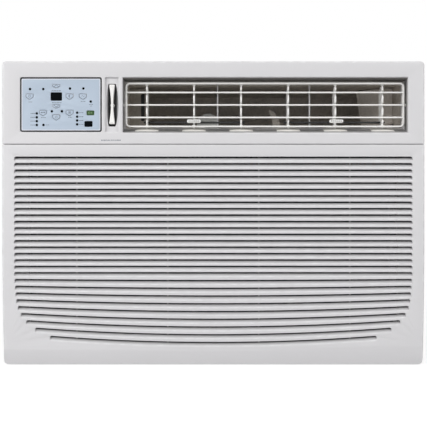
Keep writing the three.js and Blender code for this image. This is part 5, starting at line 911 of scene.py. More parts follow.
def intake_grille():
    """The slatted panel: a hollow shell, a field cut by its slots, ribs, filter hooks and hinge pegs."""
    top = SEAM - SEAM_HALF
    back = RING - 1
    body = front_body("intake_grille_fine", back, top)
    wide, field = FRONT_X1 + PAST, FULL + 6
    hollow = loft("hollow", along_y(front_outline(SHELL, top - SHELL), FACE + SHELL, back + 1))
    carve(body, carve(hollow, roll_off(SHELL)))
    carve(body, block("field", -field, field, FACE + 2.5, FACE + 7, FOOT, top - SHELL), "UNION")
    for i in range(RIBS):
        x = (i - (RIBS - 1) / 2) * RIB_PITCH
        outline = rounded(x - 1.1, x + 1.1, FOOT, SEAM - 14.7, 0.4, 2)
        carve(body, loft("rib", along_y(outline, FACE + 5.5, FACE + 12)), "UNION")
    carve(body, joined("slots", *[slot_tool(*row) for row in slots()]))
    (x0, _, low), (x1, _, high) = span("filter_frame")
    quarter = (x1 - x0) / 4
    for x in (-quarter, quarter):
        for edge, out in ((low, -1), (high, 1)):
            carve(body, filter_hook(x, edge, out), "UNION")
    carve(body, roll_off(0))
    carve(body, block("rear relief", -wide, wide, HINGE_Y - 1, RING, -1, 8))
    front, foot, knuckle = -333, 2.5, 4.5  # of the hinge's cheeks
    cheek = [(front, foot), (HINGE_Y - 1, foot)] + arc(HINGE_Y, HINGE_Z, knuckle, -60, 90, 12)
    cheek.append((front, HINGE_Z + knuckle))
    for side in (-1, 1):
        x = side * EAR_X
        carve(body, block("ear relief", x - 4, x + 4, -319.5, RING, -1, 14.5))
        face = x + side * 3.5
        carve(body, loft("cheek", along_x(cheek, *sorted((face, face + side * SHELL)))), "UNION")
        ends = sorted((face + side * 0.5, face - side * 7))
        carve(body, bar("peg", "x", HINGE_Y, HINGE_Z, 3, *ends), "UNION")
    fitted(edge_marked(body), "intake_grille", 30, GRILLE_MOULDING)


intake_grille()

# -------------------- flat pieces from drawn outlines


def drawn(name, loops, thick, roundness, place, along="y", segments=2):
    """A plate drawn as closed loops (the first outside, the rest holes), with rounded edges.

    The plate runs from place to place + thick along the axis; loops are in the two other axes."""
    curve = bpy.data.curves.new(name, "CURVE")
    curve.dimensions = "2D"
    curve.fill_mode = "BOTH"
    curve.extrude = (thick / 2 - roundness) * MM
    curve.bevel_depth = roundness * MM
    curve.bevel_resolution = segments
    curve.offset = -roundness * MM
    for loop in loops:
        spline = curve.splines.new("POLY")
        spline.points.add(len(loop) - 1)
        for point, (a, b) in zip(spline.points, loop):
            point.co = (a * MM, b * MM, 0, 1)
        spline.use_cyclic_u = True
    item = shown(name, curve)
    view = bpy.context.evaluated_depsgraph_get()
    mesh = bpy.data.meshes.new_from_object(item.evaluated_get(view))
    bpy.data.objects.remove(item)
    centre = (place + thick / 2) * MM
    if along == "y":
        mesh.transform(Matrix(((1, 0, 0, 0), (0, 0, -1, centre), (0, 1, 0, 0), (0, 0, 0, 1))))
    else:
        mesh.transform(Matrix(((0, 0, 1, centre), (1, 0, 0, 0), (0, 1, 0, 0), (0, 0, 0, 1))))
    return outward(shown(name, mesh))


def directions(path, closed):
    """Each point of a path with its unit direction."""
    count = len(path)
    for i, point in enumerate(path):
        before = path[i - 1] if (i or closed) else point
        after = path[(i + 1) % count] if (i < count - 1 or closed) else point
        dx, dz = after[0] - before[0], after[1] - before[1]
        length = math.hypot(dx, dz) or 1.0
        yield *point, dx / length, dz / length


def line_loop(points, width, closed=False):
    """The outline of a drawn line of a given width through points."""
    left, right = [], []
    for x, z, dx, dz in directions(points, closed):
        nx, nz = -dz * width / 2, dx * width / 2
        left.append((x + nx, z + nz))
        right.append((x - nx, z - nz))
    return (left, right) if closed else left + right[::-1]


# -------------------- outlet louvre and vanes

LOUVER_LOW, LOUVER_HIGH = span("louver_frame")
_, LOUVER_Y, LOUVER_Z = middle("louver_frame")
LOUVER_TOP = LOUVER_HIGH[2] - LOUVER_Z
LOUVER_X = (OUTLET[0] + 3.2, OUTLET[1] - 3.2)
BAR = 2.5
BLADE_PITCH = 19.7
BLADE_Z = [LOUVER_Z + d for d in (-BLADE_PITCH, 0, BLADE_PITCH)]
VANES = [f"vane_{i}" for i in range(1, 7)]
VANE_BACK = span("vane_1")[1][1]
PIN_Y = VANE_BACK - 25  # the vanes' pins
SOCKET = 3.9


def ring_swept(name, path, section):
    """A section carried round a closed path in the x, z plane; section points are (out, y)."""
    rings = [[(x + dz * out, y, z - dx * out) for out, y in section]
             for x, z, dx, dz in directions(path, True)]
    return made(name, *lofted(rings + rings[:1], False))


def louver_frame():
    """The louvre's outer bar, three blades, its two pivots and the vanes' sockets."""
    y0, y1 = LOUVER_LOW[1], LOUVER_HIGH[1]
    x0, x1 = LOUVER_X
    z0, z1 = LOUVER_LOW[2], LOUVER_HIGH[2]
    half = BAR / 2
    section = [(o - half, y) for o, y in rounded(0, BAR, y0, y1, 0.7, 3)]
    path = rounded(x0 + half, x1 - half, z0 + half, z1 - half, 7 - half, 8)
    parts = [ring_swept("frame bar", path, section)]
    blade = rounded(-1.1, 1.1, y0 + 0.3, span("vane_1")[0][1] + 1.6, 0.6, 3)
    for z in BLADE_Z:
        parts.append(loft("blade", along_x([(y, z + dz) for dz, y in blade], x0 + 1.2, x1 - 1.2)))
    for ends in ((x0 - 5.3, x0 + 1.7), (x1 - 1.7, x1 + 5.3)):
        parts.append(bar("pivot", "x", LOUVER_Y, LOUVER_Z, 2.4, *ends, 20))
    for name in VANES:
        for ends in ((z0 + 0.2, z0 + SOCKET), (z1 - SOCKET, z1 - 0.2)):
            parts.append(bar("socket", "z", middle(name)[0], PIN_Y, 2.6, *ends, 16))
    assembled("louver_frame", parts, 50)


louver_frame()


def vane_outline():
    """A vane from the side, in y, z: lobed front edge between the blades, rear corners swept back."""
    half = LOUVER_TOP - SOCKET
    cells = [-half - 0.5] + [z - LOUVER_Z for z in BLADE_Z] + [half + 0.5]
    outline = []
    for a, b in zip(cells, cells[1:]):
        first, last = a + 2.2, b - 2.2
        for i in range(11):
            t = i / 10
            lobe = math.sin(math.pi * t) ** 0.45
            outline.append((PIN_Y + 0.6 - 4.6 * lobe, LOUVER_Z + first + (last - first) * t))
    for i in range(19):
        z = half - 2 * half * i / 18
        depth = math.sqrt(max(LOUVER_TOP * LOUVER_TOP - z * z, 0)) + LOUVER_Y
        outline.append((min(VANE_BACK, depth), LOUVER_Z + z))
    return outline


def finger_tab(x, front):
    """The tab on a vane's front, with ribs for grip, and the stem that carries it."""
    z = LOUVER_Z - (LOUVER_TOP - 3.4 + BLADE_PITCH + 1.15) / 2
    back = LOUVER_LOW[1] - 3
    rings = []
    for y, g in ((front, 0.7), (front + 0.25, 0.3), (front + 0.8, 0.0), (back - 0.4, 0.0), (back, 0.4)):
        rings += along_y(rounded(x - 10.85 + g, x + 10.85 - g, z - 2.7 + g, z + 2.7 - g, 2.4 - g, 6), y)
    parts = [loft("tab", rings)]
    for i in range(6):
        rib_x = x - 7.5 + 3 * i
        rib = rounded(rib_x - 0.45, rib_x + 0.45, z - 1.9, z + 1.9, 0.4, 3)
        parts.append(loft("tab rib", along_y(rib, front, front + 0.5)))
    stem = rounded(x - 1.3, x + 1.3, z - 1.8, z + 1.8, 0.5, 3)
    parts.append(loft("stem", along_y(stem, back - 0.5, PIN_Y + 0.5)))
    return parts


def vane(name):
    """A vane with its two pins, the peg for its link, and a finger tab where the node has one."""
    low, high = span(name)
    x = middle(name)[0]
    link_low, link_high = span("vane_link_left")
    window = rounded(link_low[1] - 1.3, high[1] - 1.2, link_low[2] - 1.5, link_high[2] + 1.5, 1.0, 3)
    parts = [drawn(name + " blade", [vane_outline(), window], 2.6, 0.5, x - 1.3, "x")]
    for ends in ((low[2], low[2] + 8.4), (high[2] - 8.4, high[2])):
        parts.append(bar("pin", "z", x, PIN_Y, 1.3, *ends, 14))
    parts.append(bar("peg", "z", x, PIN_Y + 16, 1.45, link_low[2] - 2.5, link_low[2] + 5, 14))
    if high[0] - low[0] > 10:
        parts += finger_tab(x, low[1])
    assembled(name, parts, 40)


for vane_name in VANES:
    vane(vane_name)

# -------------------- control overlay

KEYS = [n for n in NODES if n.startswith("key_")]
WINDOWS = ("display_window", "power_light", "remote_eye")
PRINT_Y = OVER_Y0 - 0.06  # printed lines stand just proud of the overlay


def key_loop(name, play):
    """A key's outline: its lower side is drawn down to a blunt point."""
    low, high = span(name)
    x0, x1, z0, z1 = low[0] - play, high[0] + play, low[2] - play, high[2] + play
    x, z = (x0 + x1) / 2, z0 + (z1 - z0) * 0.42
    return [(x - 1, z0), (x + 1, z0), (x1 - 0.4, z - 0.5), (x1, z + 0.3), (x1, z1 - 1.2), (x1 - 1.2, z1),
            (x0 + 1.2, z1), (x0, z1 - 1.2), (x0, z + 0.3), (x0 + 0.4, z - 0.5)]


def window_loop(name, play):
    low, high = span(name)
    return grown((low[0], high[0], low[2], high[2]), play, 1.5 + play, 4)


def control_overlay():
    loops = [grown(OVERLAY, 0, 2.4)] + [key_loop(n, 0.3) for n in KEYS]
    loops += [window_loop(n, 0.3) for n in WINDOWS]
    plate = drawn("control_overlay_fine", loops, OVER_Y1 - OVER_Y0, 0.25, OVER_Y0)
    fitted(edge_marked(plate), "control_overlay", 35)


control_overlay()


def printed(name, shapes, body="chassis", finish=PRINT_GREY, y=PRINT_Y, thick=0.1):
    """Thin printed marks, made as one mesh; a shape is a list of loops."""
    whole = joined(name, *[drawn(name, loops, thick, 0.02, y, segments=0) for loops in shapes])
    extra(whole, body, "panel_overlay", finish, 30)


def box_loop(x0, x1, z0, z1):
    return [(x0, z0), (x1, z0), (x1, z1), (x0, z1)]


def stroke(width, *points):
    return [line_loop(points, width)]


def fan_blade(x, z, r, turn):
    """One bent blade of the fan sign."""
    blade = []
    for i in range(10):
        a, d = math.radians(turn + 60 * math.sin(math.pi * i / 9) - 20), r * i / 9
        blade.append((x + d * math.cos(a), z + d * math.sin(a)))
    back = math.radians(turn - 28)
    blade += [(x + r * i / 9 * math.cos(back), z + r * i / 9 * math.sin(back)) for i in range(9, 0, -1)]
    return [blade]


def sign_shapes(name, x, z):
    """The plain sign on a key: an arrow, moon, power mark, fan, three bars, clock or wave."""
    if name in ("key_up", "key_down"):
        up = 1.7 if name == "key_up" else -1.7
        return [stroke(0.8, (x - 3.8, z + 0.3 - up), (x, z + 0.3 + up), (x + 3.8, z + 0.3 - up))]
    if name == "key_sleep":
        x, z, r = x + 0.4, z + 0.6, 2.1
        return [[arc(x, z, r, 66, 294, 14) + arc(x + r * 0.55, z, r * 0.86, 262, 98, 14)]]
    if name == "key_power":
        z, r = z + 0.3, 1.7
        stem = box_loop(x - 0.25, x + 0.25, z + 0.3, z + r + 0.5)
        return [stroke(0.5, *arc(x, z, r, 125, 415, 18)), [stem]]
    if name == "key_fan":
        return [fan_blade(x, z + 0.6, 2.3, turn) for turn in (45, 135, 225, 315)]
    if name == "key_mode":
        return [[rounded(x + d - 0.9, x + d + 0.9, z - 0.2, z + 1.5, 0.35, 2)] for d in (-2.6, 0, 2.6)]
    if name == "key_timer":
        return [stroke(0.45, *arc(x, z + 0.6, 1.9, 0, 345, 20)),
                stroke(0.4, (x, z + 2.0), (x, z + 0.6), (x + 1.1, z + 0.6))]
    return [stroke(0.5, (x - 2.6, z + 0.2), (x - 0.9, z + 1.4), (x + 0.9, z - 0.2), (x + 2.6, z + 1.0))]


def key(name):
    """A key's cap and stem, and its printed outline and sign, which move with it."""
    low, high = span(name)
    x, _, z = middle(name)
    shapes = [list(line_loop(key_loop(name, -0.6), 0.55, closed=True))] + sign_shapes(name, x, z)
    printed(name + "_marks", shapes, BODY_OF[name], y=low[1] - 0.02, thick=0.06)
    cap = drawn(name + "_cap", [key_loop(name, 0.0)], 3.0, 0.25, low[1] + 0.02)
    stem = bar("stem", "y", x, z, 1.6, low[1] + 2.5, high[1], 12)
    assembled(name, [cap, stem], 35)


for key_name in KEYS:
    key(key_name)


def panel_at(right, down):
    """A place on the overlay, from its upper left corner."""
    return OVER_X0 + right + 1.1, OVER_Z1 - down - 0.3


LEFT_ROWS = (54.9, 61.0, 66.9, 73.0)
RIGHT_ROWS = (53.8, 60.0, 65.9, 71.9)
LAMPS = [(13.1, 16.9), (33.8, 16.9), (75.5, 16.1), (96.4, 16.0), (107.9, 36.4), (47.2, 51.6),
         (62.9, 51.6), (34.1, 72.9), *[(23.7, d) for d in LEFT_ROWS], *[(86.7, d) for d in RIGHT_ROWS]]
DASHES = [  # right, down, height, widths
    *[(13.8, d, 0.9, (1.2, 2.0, 1.0, 1.6)) for d in LEFT_ROWS],
    *[(90.0, d, 0.9, (1.8, 1.2, 2.2)) for d in RIGHT_ROWS],
    (46.8, 19.4, 0.8, (3.0, 4.0, 2.4, 3.6)), (47.4, 38.2, 0.8, (3.8, 2.6, 4.4, 2.6)),
    (30.2, 61.4, 0.8, (2.4, 1.6, 2.6)), (72.8, 61.2, 0.8, (1.6, 2.2, 1.2)),
    (92.4, 36.0, 0.8, (2.2, 1.4, 2.6)), (105.2, 40.9, 0.8, (2.0, 1.2, 1.8)),
    (106.6, 43.4, 0.8, (1.2, 1.6)), (37.6, 72.9, 0.8, (1.4, 1.0, 1.8)),
    (10.6, 37.0, 0.8, (2.0, 1.2, 1.6))]


def dash_row(x, z, high, widths, gap):
    """A row of dashes; a width of nothing leaves a wider gap."""
    shapes = []
    for width in widths:
        if width:
            shapes.append([box_loop(x, x + width, z - high / 2, z + high / 2)])
        x += width + gap
    return shapes


def panel_lamps_and_labels():
    """Small round lamp windows beside the keys, and plain dashes where a panel has its words."""
    lamps = [[arc(*panel_at(*place), 2.0, 0, 345, 23)] for place in LAMPS]
    printed("panel_lamps", lamps, finish=LAMP_BLACK, y=PRINT_Y - 0.1, thick=0.14)
    dashes = []
    for right, down, high, widths in DASHES:
        dashes += dash_row(*panel_at(right, down), high, widths, 0.5)
    printed("panel_dashes", dashes)


panel_lamps_and_labels()


def panel_window(node):
    """A domed window set in the overlay."""
    low, high = span(node)
    rings = []
    for y, g in ((low[1], 0.5), (low[1] + 0.12, 0.15), (low[1] + 0.45, 0.0), (high[1], 0.0)):
        rings += along_y(grown((low[0], high[0], low[2], high[2]), -g, 1.5 - g * 0.5, 5), y)
    fitted(edge_marked(loft(node + "_fine", rings)), node, 35)


for window in WINDOWS:
    panel_window(window)


def power_sign():
    """A ring and a branching line on the status light."""
    x, _, z = middle("power_light")
    stem = x + 1.4
    shapes = [stroke(0.45, *arc(x - 1.6, z, 1.5, 0, 345, 16)),
              stroke(0.5, (stem, z - 1.2), (stem, z + 1.4)), stroke(0.5, (stem, z), (x + 3.4, z))]
    printed("light_sign", shapes, finish=PALE_PRINT, y=span("power_light")[0][1] - 0.03, thick=0.08)


power_sign()

# -------------------- vent handle


def vent_handle():
    """Broad at its ends and narrow at its waist, its face gently hollowed for finger and thumb."""
    y0, y1 = HANDLE_LOW[1], HANDLE_HIGH[1] - 1
    lift = 0.8  # the lower end stops short of the node's
    rings = []
    for t in spread(28):
        end = max(0.0, (abs(t) - 0.965) / 0.035)
        width = (3.2 + 5.8 * abs(t) ** 1.7) / 2 * (1 - 0.12 * end * end)
        front = y0 + 2.0 * (1 - t * t) + 0.8 * end * end
        z = OPEN_Z + lift + (HANDLE_HALF - lift) * t
        section = rounded(-width, width, front, y1 - 0.3 * end, min(0.9, width * 0.5), 4)
        rings.append([(WELL_X + dx, y, z) for dx, y in section])
    grip = loft("grip", rings)
    boss = bar("boss", "y", WELL_X, OPEN_Z, 3.2, y1 - 4, HANDLE_HIGH[1])
    assembled("vent_handle", [grip, boss], 40)


vent_handle()

# -------------------- repeats, refined parts and screws


def row_tree():
    """Copies a shape along a line, each copy swayed a little at random, with one finish."""
    tree = bpy.data.node_groups.new("Row of copies", "GeometryNodeTree")
    for label, kind in (("Shape", "NodeSocketGeometry"), ("Count", "NodeSocketInt"), ("Step", VECTOR),
                        ("Sway", VECTOR), ("Seed", "NodeSocketInt"), ("Finish", "NodeSocketMaterial")):
        tree.interface.new_socket(label, in_out="INPUT", socket_type=kind)
    tree.interface.new_socket("Copies", in_out="OUTPUT", socket_type="NodeSocketGeometry")
    given = tree.nodes.new("NodeGroupInput").outputs
    line = add(tree, "GeometryNodeMeshLine", Count=given["Count"], Offset=given["Step"])
    less = add(tree, "ShaderNodeVectorMath", (given["Sway"],), operation="SCALE", Scale=-1.0)
    turn = add(tree, "FunctionNodeRandomValue", data_type="FLOAT_VECTOR", Min=less.outputs[0],
               Max=given["Sway"], Seed=given["Seed"])
    copies = add(tree, "GeometryNodeInstanceOnPoints", Points=line.outputs[0], Instance=given["Shape"],
                 Rotation=turn.outputs["Value"])
    real = add(tree, "GeometryNodeRealizeInstances", Geometry=copies.outputs[0])
    finish = add(tree, "GeometryNodeSetMaterial", Geometry=real.outputs[0], Material=given["Finish"])
    tree.links.new(finish.outputs[0], tree.nodes.new("NodeGroupOutput").inputs[0])
    return tree


ROW = row_tree()


def repeated(item, count, step, finish, sway=(0, 0, 0), seed=3):
    """Turns a shape into a row of copies, step given in millimetres."""
    row = item.modifiers.new("row", "NODES")
    row.node_group = ROW
    values = {"Count": count, "Step": tuple(c * MM for c in step), "Sway": sway, "Seed": seed,
              "Finish": finish}
    for socket in ROW.interface.items_tree:
        if socket.in_out == "INPUT" and socket.name in values:
            row[socket.identifier] = values[socket.name]
    return applied(item)


def refined(node, width=0.3, angle=38.0):
    """The node's own shape with its edges rounded and marked for wear."""
    source = NODES[node]
    mesh = source.data.copy()
    mesh.transform(source.matrix_world)
    body = bmesh.new()
    body.from_mesh(mesh)
    bmesh.ops.remove_doubles(body, verts=body.verts, dist=2e-6)
    bmesh.ops.dissolve_limit(body, angle_limit=math.radians(0.5), verts=body.verts, edges=body.edges)
    bmesh.ops.recalc_face_normals(body, faces=body.faces)
    body.to_mesh(mesh)
    body.free()
    item = shown(node + "_fine", mesh)
    if width:
        softened(item, width, angle)
    fitted(edge_marked(item), node, angle)


def screw_head(axis, a, b, seat, out, radius=3.6):
    """A pan head with a crossed recess; seat is where it lies, out the way it faces (1 or -1)."""
    high = radius * 0.55
    # The profile is given in shares of the radius and the height.
    profile = [(0, 0), (1, 0), (1, 0.35), (0.8, 0.85), (0.4, 1), (0, 1)]
    head = lathe("screw", axis, a, b, [(radius * r, seat + out * high * h) for r, h in profile], 16)
    reach, half = radius * 0.55, radius * 0.11
    ends = sorted((seat + out * high * 0.45, seat + out * (high + 1)))
    for p, q in ((reach, half), (half, reach)):
        ring = box_loop(a - p, a + p, b - q, b + q)
        carve(head, loft("recess", [[on_axis(axis, along, s, t) for s, t in ring] for along in ends]))
    return head


def screws(name, first, places):
    """Copies of one screw; places are moves in millimetres from the first."""
    parts = [moved(shown("screw", first.data.copy()), *place) for place in places]
    bpy.data.objects.remove(first)
    extra(joined(name, *parts), "cabinet", "steel", SCREW_METAL, 40)


# -------------------- cabinet

(_, WRAP_Y0, WRAP_Z0), (WRAP_X1, WRAP_Y1, WRAP_Z1) = span("cabinet_wrap")
SHEET = 1.2
SLOT_Z = WRAP_Z1 * 0.55
SLOT_Y = (span("bulkhead")[0][1] + span("condenser_shroud")[0][1] + 16) / 2
SLOT_HALF = 31.0
SLOT_STEP = 26
FAN_X = middle("fan_shaft")[0]


def slot_places():
    """Every pressed slot of the cabinet: its face, its middle along y, and its middle across."""
    places = []
    for y in (SLOT_Y - 38, SLOT_Y + 38):
        places += [(side, y, SLOT_Z + (i - 3.5) * SLOT_STEP) for i in range(8) for side in (-1, 1)]
        places += [(0, y, FAN_X + (i - 2) * SLOT_STEP) for i in range(5)]
    return places


def on_face(face, along, across, y, centre, out):
    """A point on a cabinet face: along the slot, across it, and out of the sheet."""
    if face:
        return (face * (WRAP_X1 + out), y + along, centre + across)
    return (centre + across, y + along, WRAP_Z1 + out)


def hood(face, y, centre):
    """A pressed hood over a slot: shut above, open below, its ends drawn down to the sheet."""
    wide, tall, high, upper = SLOT_HALF + 2.0, 7.4, 4.6, 4.2
    columns, rows = 14, 5
    points = []
    for inward in (0.0, -0.9):
        for j in range(rows + 1):
            t = j / rows
            for u in spread(columns):
                cap = 1 - abs(u) ** 5
                out = high * cap * math.sin(math.pi / 2 * t) + inward - 0.25 * (1 - cap)
                points.append(on_face(face, u * wide, upper - tall * t, y, centre, out))
    size = (columns + 1) * (rows + 1)

    def at(sheet, i, j):
        return sheet * size + j * (columns + 1) + i

    faces = [(at(s, i, j), at(s, i + 1, j), at(s, i + 1, j + 1), at(s, i, j + 1))
             for j in range(rows) for i in range(columns) for s in (0, 1)]
    faces += [(at(0, i, j), at(0, i + 1, j), at(1, i + 1, j), at(1, i, j))
              for i in range(columns) for j in (0, rows)]
    faces += [(at(0, i, j), at(0, i, j + 1), at(1, i, j + 1), at(1, i, j))
              for j in range(rows) for i in (0, columns)]
    return made("hood", points, faces)


def slot_cut(face, y, centre):
    ring = rounded(-SLOT_HALF, SLOT_HALF, -3, 3, 2.4, 4)
    return loft("cut", [[on_face(face, p, q, y, centre, out) for p, q in ring] for out in (-4, 4)])


def cabinet_wrap():
    """The folded sheet with its cut slots and their pressed hoods."""
    bend = 7.0
    outer = [(WRAP_X1, WRAP_Z0)] + arc(WRAP_X1 - bend, WRAP_Z1 - bend, bend, 0, 90, 8)
    outer += [(-x, z) for x, z in reversed(outer)]
    inner = [(WRAP_X1 - SHEET, WRAP_Z0)] + arc(WRAP_X1 - bend, WRAP_Z1 - bend, bend - SHEET, 0, 90, 8)
    inner += [(-x, z) for x, z in reversed(inner)]
    wrap = loft("cabinet_wrap_fine", along_y(outer + inner[::-1], WRAP_Y0, WRAP_Y1))
    carve(wrap, joined("cuts", *[slot_cut(*p) for p in slot_places()]))
    assembled("cabinet_wrap", [wrap] + [hood(*p) for p in slot_places()], 40)


cabinet_wrap()


def cabinet_details():
    """Stiffening beads and screws of the wrap."""
    beads = []
    root = WRAP_X1 - 0.4  # a bead's section starts inside the sheet
    for side in (-1, 1):
        for z in (40, WRAP_Z1 - 26):
            section = [(root + 1.8 * math.sin(t), z + 3.4 * math.cos(t))
                       for t in (math.pi * k / 8 for k in range(9))]
            rings = []
            for y, size in ((WRAP_Y0 + 26, 0.1), (WRAP_Y0 + 29, 0.6), (WRAP_Y0 + 34, 1.0),
                            (WRAP_Y1 - 44, 1.0), (WRAP_Y1 - 39, 0.6), (WRAP_Y1 - 36, 0.1)):
                rings.append([(side * (root + (x - root) * size), y, z + (q - z) * size)
                              for x, q in section])
            beads.append(loft("bead", rings))
    extra(edge_marked(joined("cabinet_beads", *beads)), "cabinet", "cabinet_paint", angle=50)
    length = WRAP_Y1 - WRAP_Y0 - 30  # between the first and the last screw
    moves = [(0, y, z) for y in (0, length) for z in (0, 170, 340)]
    moves += [(0, y, -46) for y in (120, 300, 480)]
    for side, name in ((-1, "left"), (1, "right")):
        screws(f"cabinet_screws_{name}", screw_head("x", WRAP_Y0 + 12, 60, side * WRAP_X1, side), moves)
    screws("cabinet_screws_top", screw_head("z", -250, WRAP_Y0 + 12, WRAP_Z1, 1),
           [(x, y, 0) for x in (0, 250, 500) for y in (0, length)])


cabinet_details()


def rating_plate():
    """A plain plate with ruled lines on the cabinet's right side."""
    plate = [ring for out, g in ((-0.1, 0), (0.35, 0), (0.5, 0.3))
             for ring in along_x(rounded(210 + g, 282 - g, 60 + g, 104 - g, 2, 4), WRAP_X1 + out)]
    extra(loft("rating_plate", plate), "cabinet", "aluminium")
    lines = []
    for i in range(6):
        z = 97 - i * 6
        for y0, y1 in ((216, 240), (244, 276 - 5 * (i % 3))):
            lines.append(block("line", WRAP_X1 + 0.48, WRAP_X1 + 0.56, y0, y1, z - 0.4, z + 0.4))
    extra(joined("rating_lines", *lines), "cabinet", "dark_plastic", PRINT_GREY)


rating_plate()

# -------------------- coils and filter

TUBE_PITCH = 25.4
TUBE_COLUMNS = 2
TUBE = 4.6
FIN_PITCH = 2.6
FIN_SWAY = (0, 0.0022, 0.006)
FIN_WAVES = 8


def coil_fins(node, end, seed):
    """Thin waved fins in a row."""
    (_, y0, z0), (_, y1, z1) = span(node)
    step = (y1 - y0 - 1.0) / FIN_WAVES
    line = [(0.45 * (-1) ** i, y0 + 0.5 + step * i) for i in range(FIN_WAVES + 1)]
    ring = [(-end + x, y) for x, y in line] + [(-end + x + 0.3, y) for x, y in reversed(line)]
    fin = loft("fin", [[(x, y, z) for x, y in ring] for z in (z0 + 0.5, z1 - 0.5)])
    count = int((2 * end - 3) / FIN_PITCH)
    fins = repeated(moved(fin, 1.5, 0, -z0), count, (FIN_PITCH, 0, 0), FINISH["fins"], FIN_SWAY, seed)
    moved(fins, 0, 0, z0).name = node + "_fine"
    fitted(fins, node, 20)


def coil_plates(node, end):
    """The two flanged end plates."""
    (_, y0, z0), (_, y1, z1) = span(node)
    plates = []
    for side in (-1, 1):
        section = rounded(y0, y1, z0, z1, 2, 3)
        plates.append(loft("plate", along_x(section, *sorted((side * end, side * (end + 1.4))))))
        for y in (y0, y1 - 1.2):
            wide = sorted((side * end, side * (end + 9)))
            plates.append(block("flange", *wide, y, y + 1.2, z0 + 3, z1 - 3))
    extra(edge_marked(softened(joined(node + "_plates", *plates), 0.3)), BODY_OF[node], "galvanised")


def coil_tubes(node, end):
    """Copper tubes joined by return bends."""
    (_, y0, z0), (_, y1, z1) = span(node)
    bend = TUBE_PITCH / 2
    rows = int((z1 - z0 - 8) / TUBE_PITCH)
    first = (z0 + z1) / 2 - (rows - 1) * TUBE_PITCH / 2
    tubes = []
    for c in range(TUBE_COLUMNS):
        y = y0 + (y1 - y0) * (c + 0.5) / TUBE_COLUMNS
        for r in range(rows):
            tubes.append(bar("tube", "x", y, first + r * TUBE_PITCH, TUBE, -end - 2, end + 2, 10))
        for side in (-1, 1):
            for r in range(0 if side > 0 else 1, rows - 1, 2):
                z = first + r * TUBE_PITCH
                path = [(side * (end + 1), y, z), (side * (end + 2.5), y, z)]
                for t in (math.pi * k / 10 for k in range(1, 10)):
                    out = end + 2.5 + bend * math.sin(t)
                    path.append((side * out, y, z + bend - bend * math.cos(t)))
                path += [(side * (end + 2.5), y, z + TUBE_PITCH), (side * (end + 1), y, z + TUBE_PITCH)]
                tubes.append(pipe("bend", path, TUBE, 10))
    extra(joined(node + "_tubes", *tubes), BODY_OF[node], "copper", angle=60)


for coil, fin_seed in (("evaporator_coil", 5), ("condenser_coil", 9)):
    coil_end = span(coil)[1][0] - TUBE_PITCH / 2 - TUBE - 3.4
    coil_fins(coil, coil_end, fin_seed)
    coil_plates(coil, coil_end)
    coil_tubes(coil, coil_end)


def filter_threads():
    """Crossed threads of the filter, in front of its thin backing."""
    (x0, y0, z0), (x1, y1, z1) = span("filter_mesh")
    centre = (y0 + y1) / 2
    pitch, edge, finish = 3.2, 1.2, FINISH["filter_mesh"]
    up = bar("thread", "z", x0 + edge, centre - 0.12, 0.42, z0 + 0.3, z1 - 0.3, 6)
    moved(up, -(x0 + edge), 0, 0)
    count = int((x1 - x0 - 2 * edge) / pitch) + 1
    up = moved(repeated(up, count, (pitch, 0, 0), finish), x0 + edge, 0, 0)
    across = bar("thread", "x", centre + 0.12, 0, 0.42, x0 + 0.3, x1 - 0.3, 6)
    count = int((z1 - z0 - 2 * edge) / pitch) + 1
    across = moved(repeated(across, count, (0, 0, pitch), finish), 0, 0, z0 + edge)
    backing = block("backing", x0, x1, centre - 0.1, centre + 0.1, z0, z1)
    fitted(joined("filter_mesh_fine", up, across, backing), "filter_mesh", 50)


filter_threads()

# -------------------- the nodes' own shapes, edges rounded

for plain in ("cabinet_base", "base_pan", "bulkhead", "drain_tray", "condenser_shroud", "motor_mount",
              "control_box", "top_brace", "filter_frame", "blower_scroll", "blower_orifice", "vent_door",
              "display_board", "control_board", "vane_link_left", "vane_link_right", "cord_gland"):
    refined(plain)
refined("rear_guard", 0.9)
refined("blower_wheel", 0.25)
refined("condenser_fan", 0.4, 50)
for soft in ("terminal_cover", "compressor_foot_1", "compressor_foot_2", "compressor_foot_3"):
    refined(soft, 0.8, 30)

# -------------------- compressor, accumulator, motor and pipes


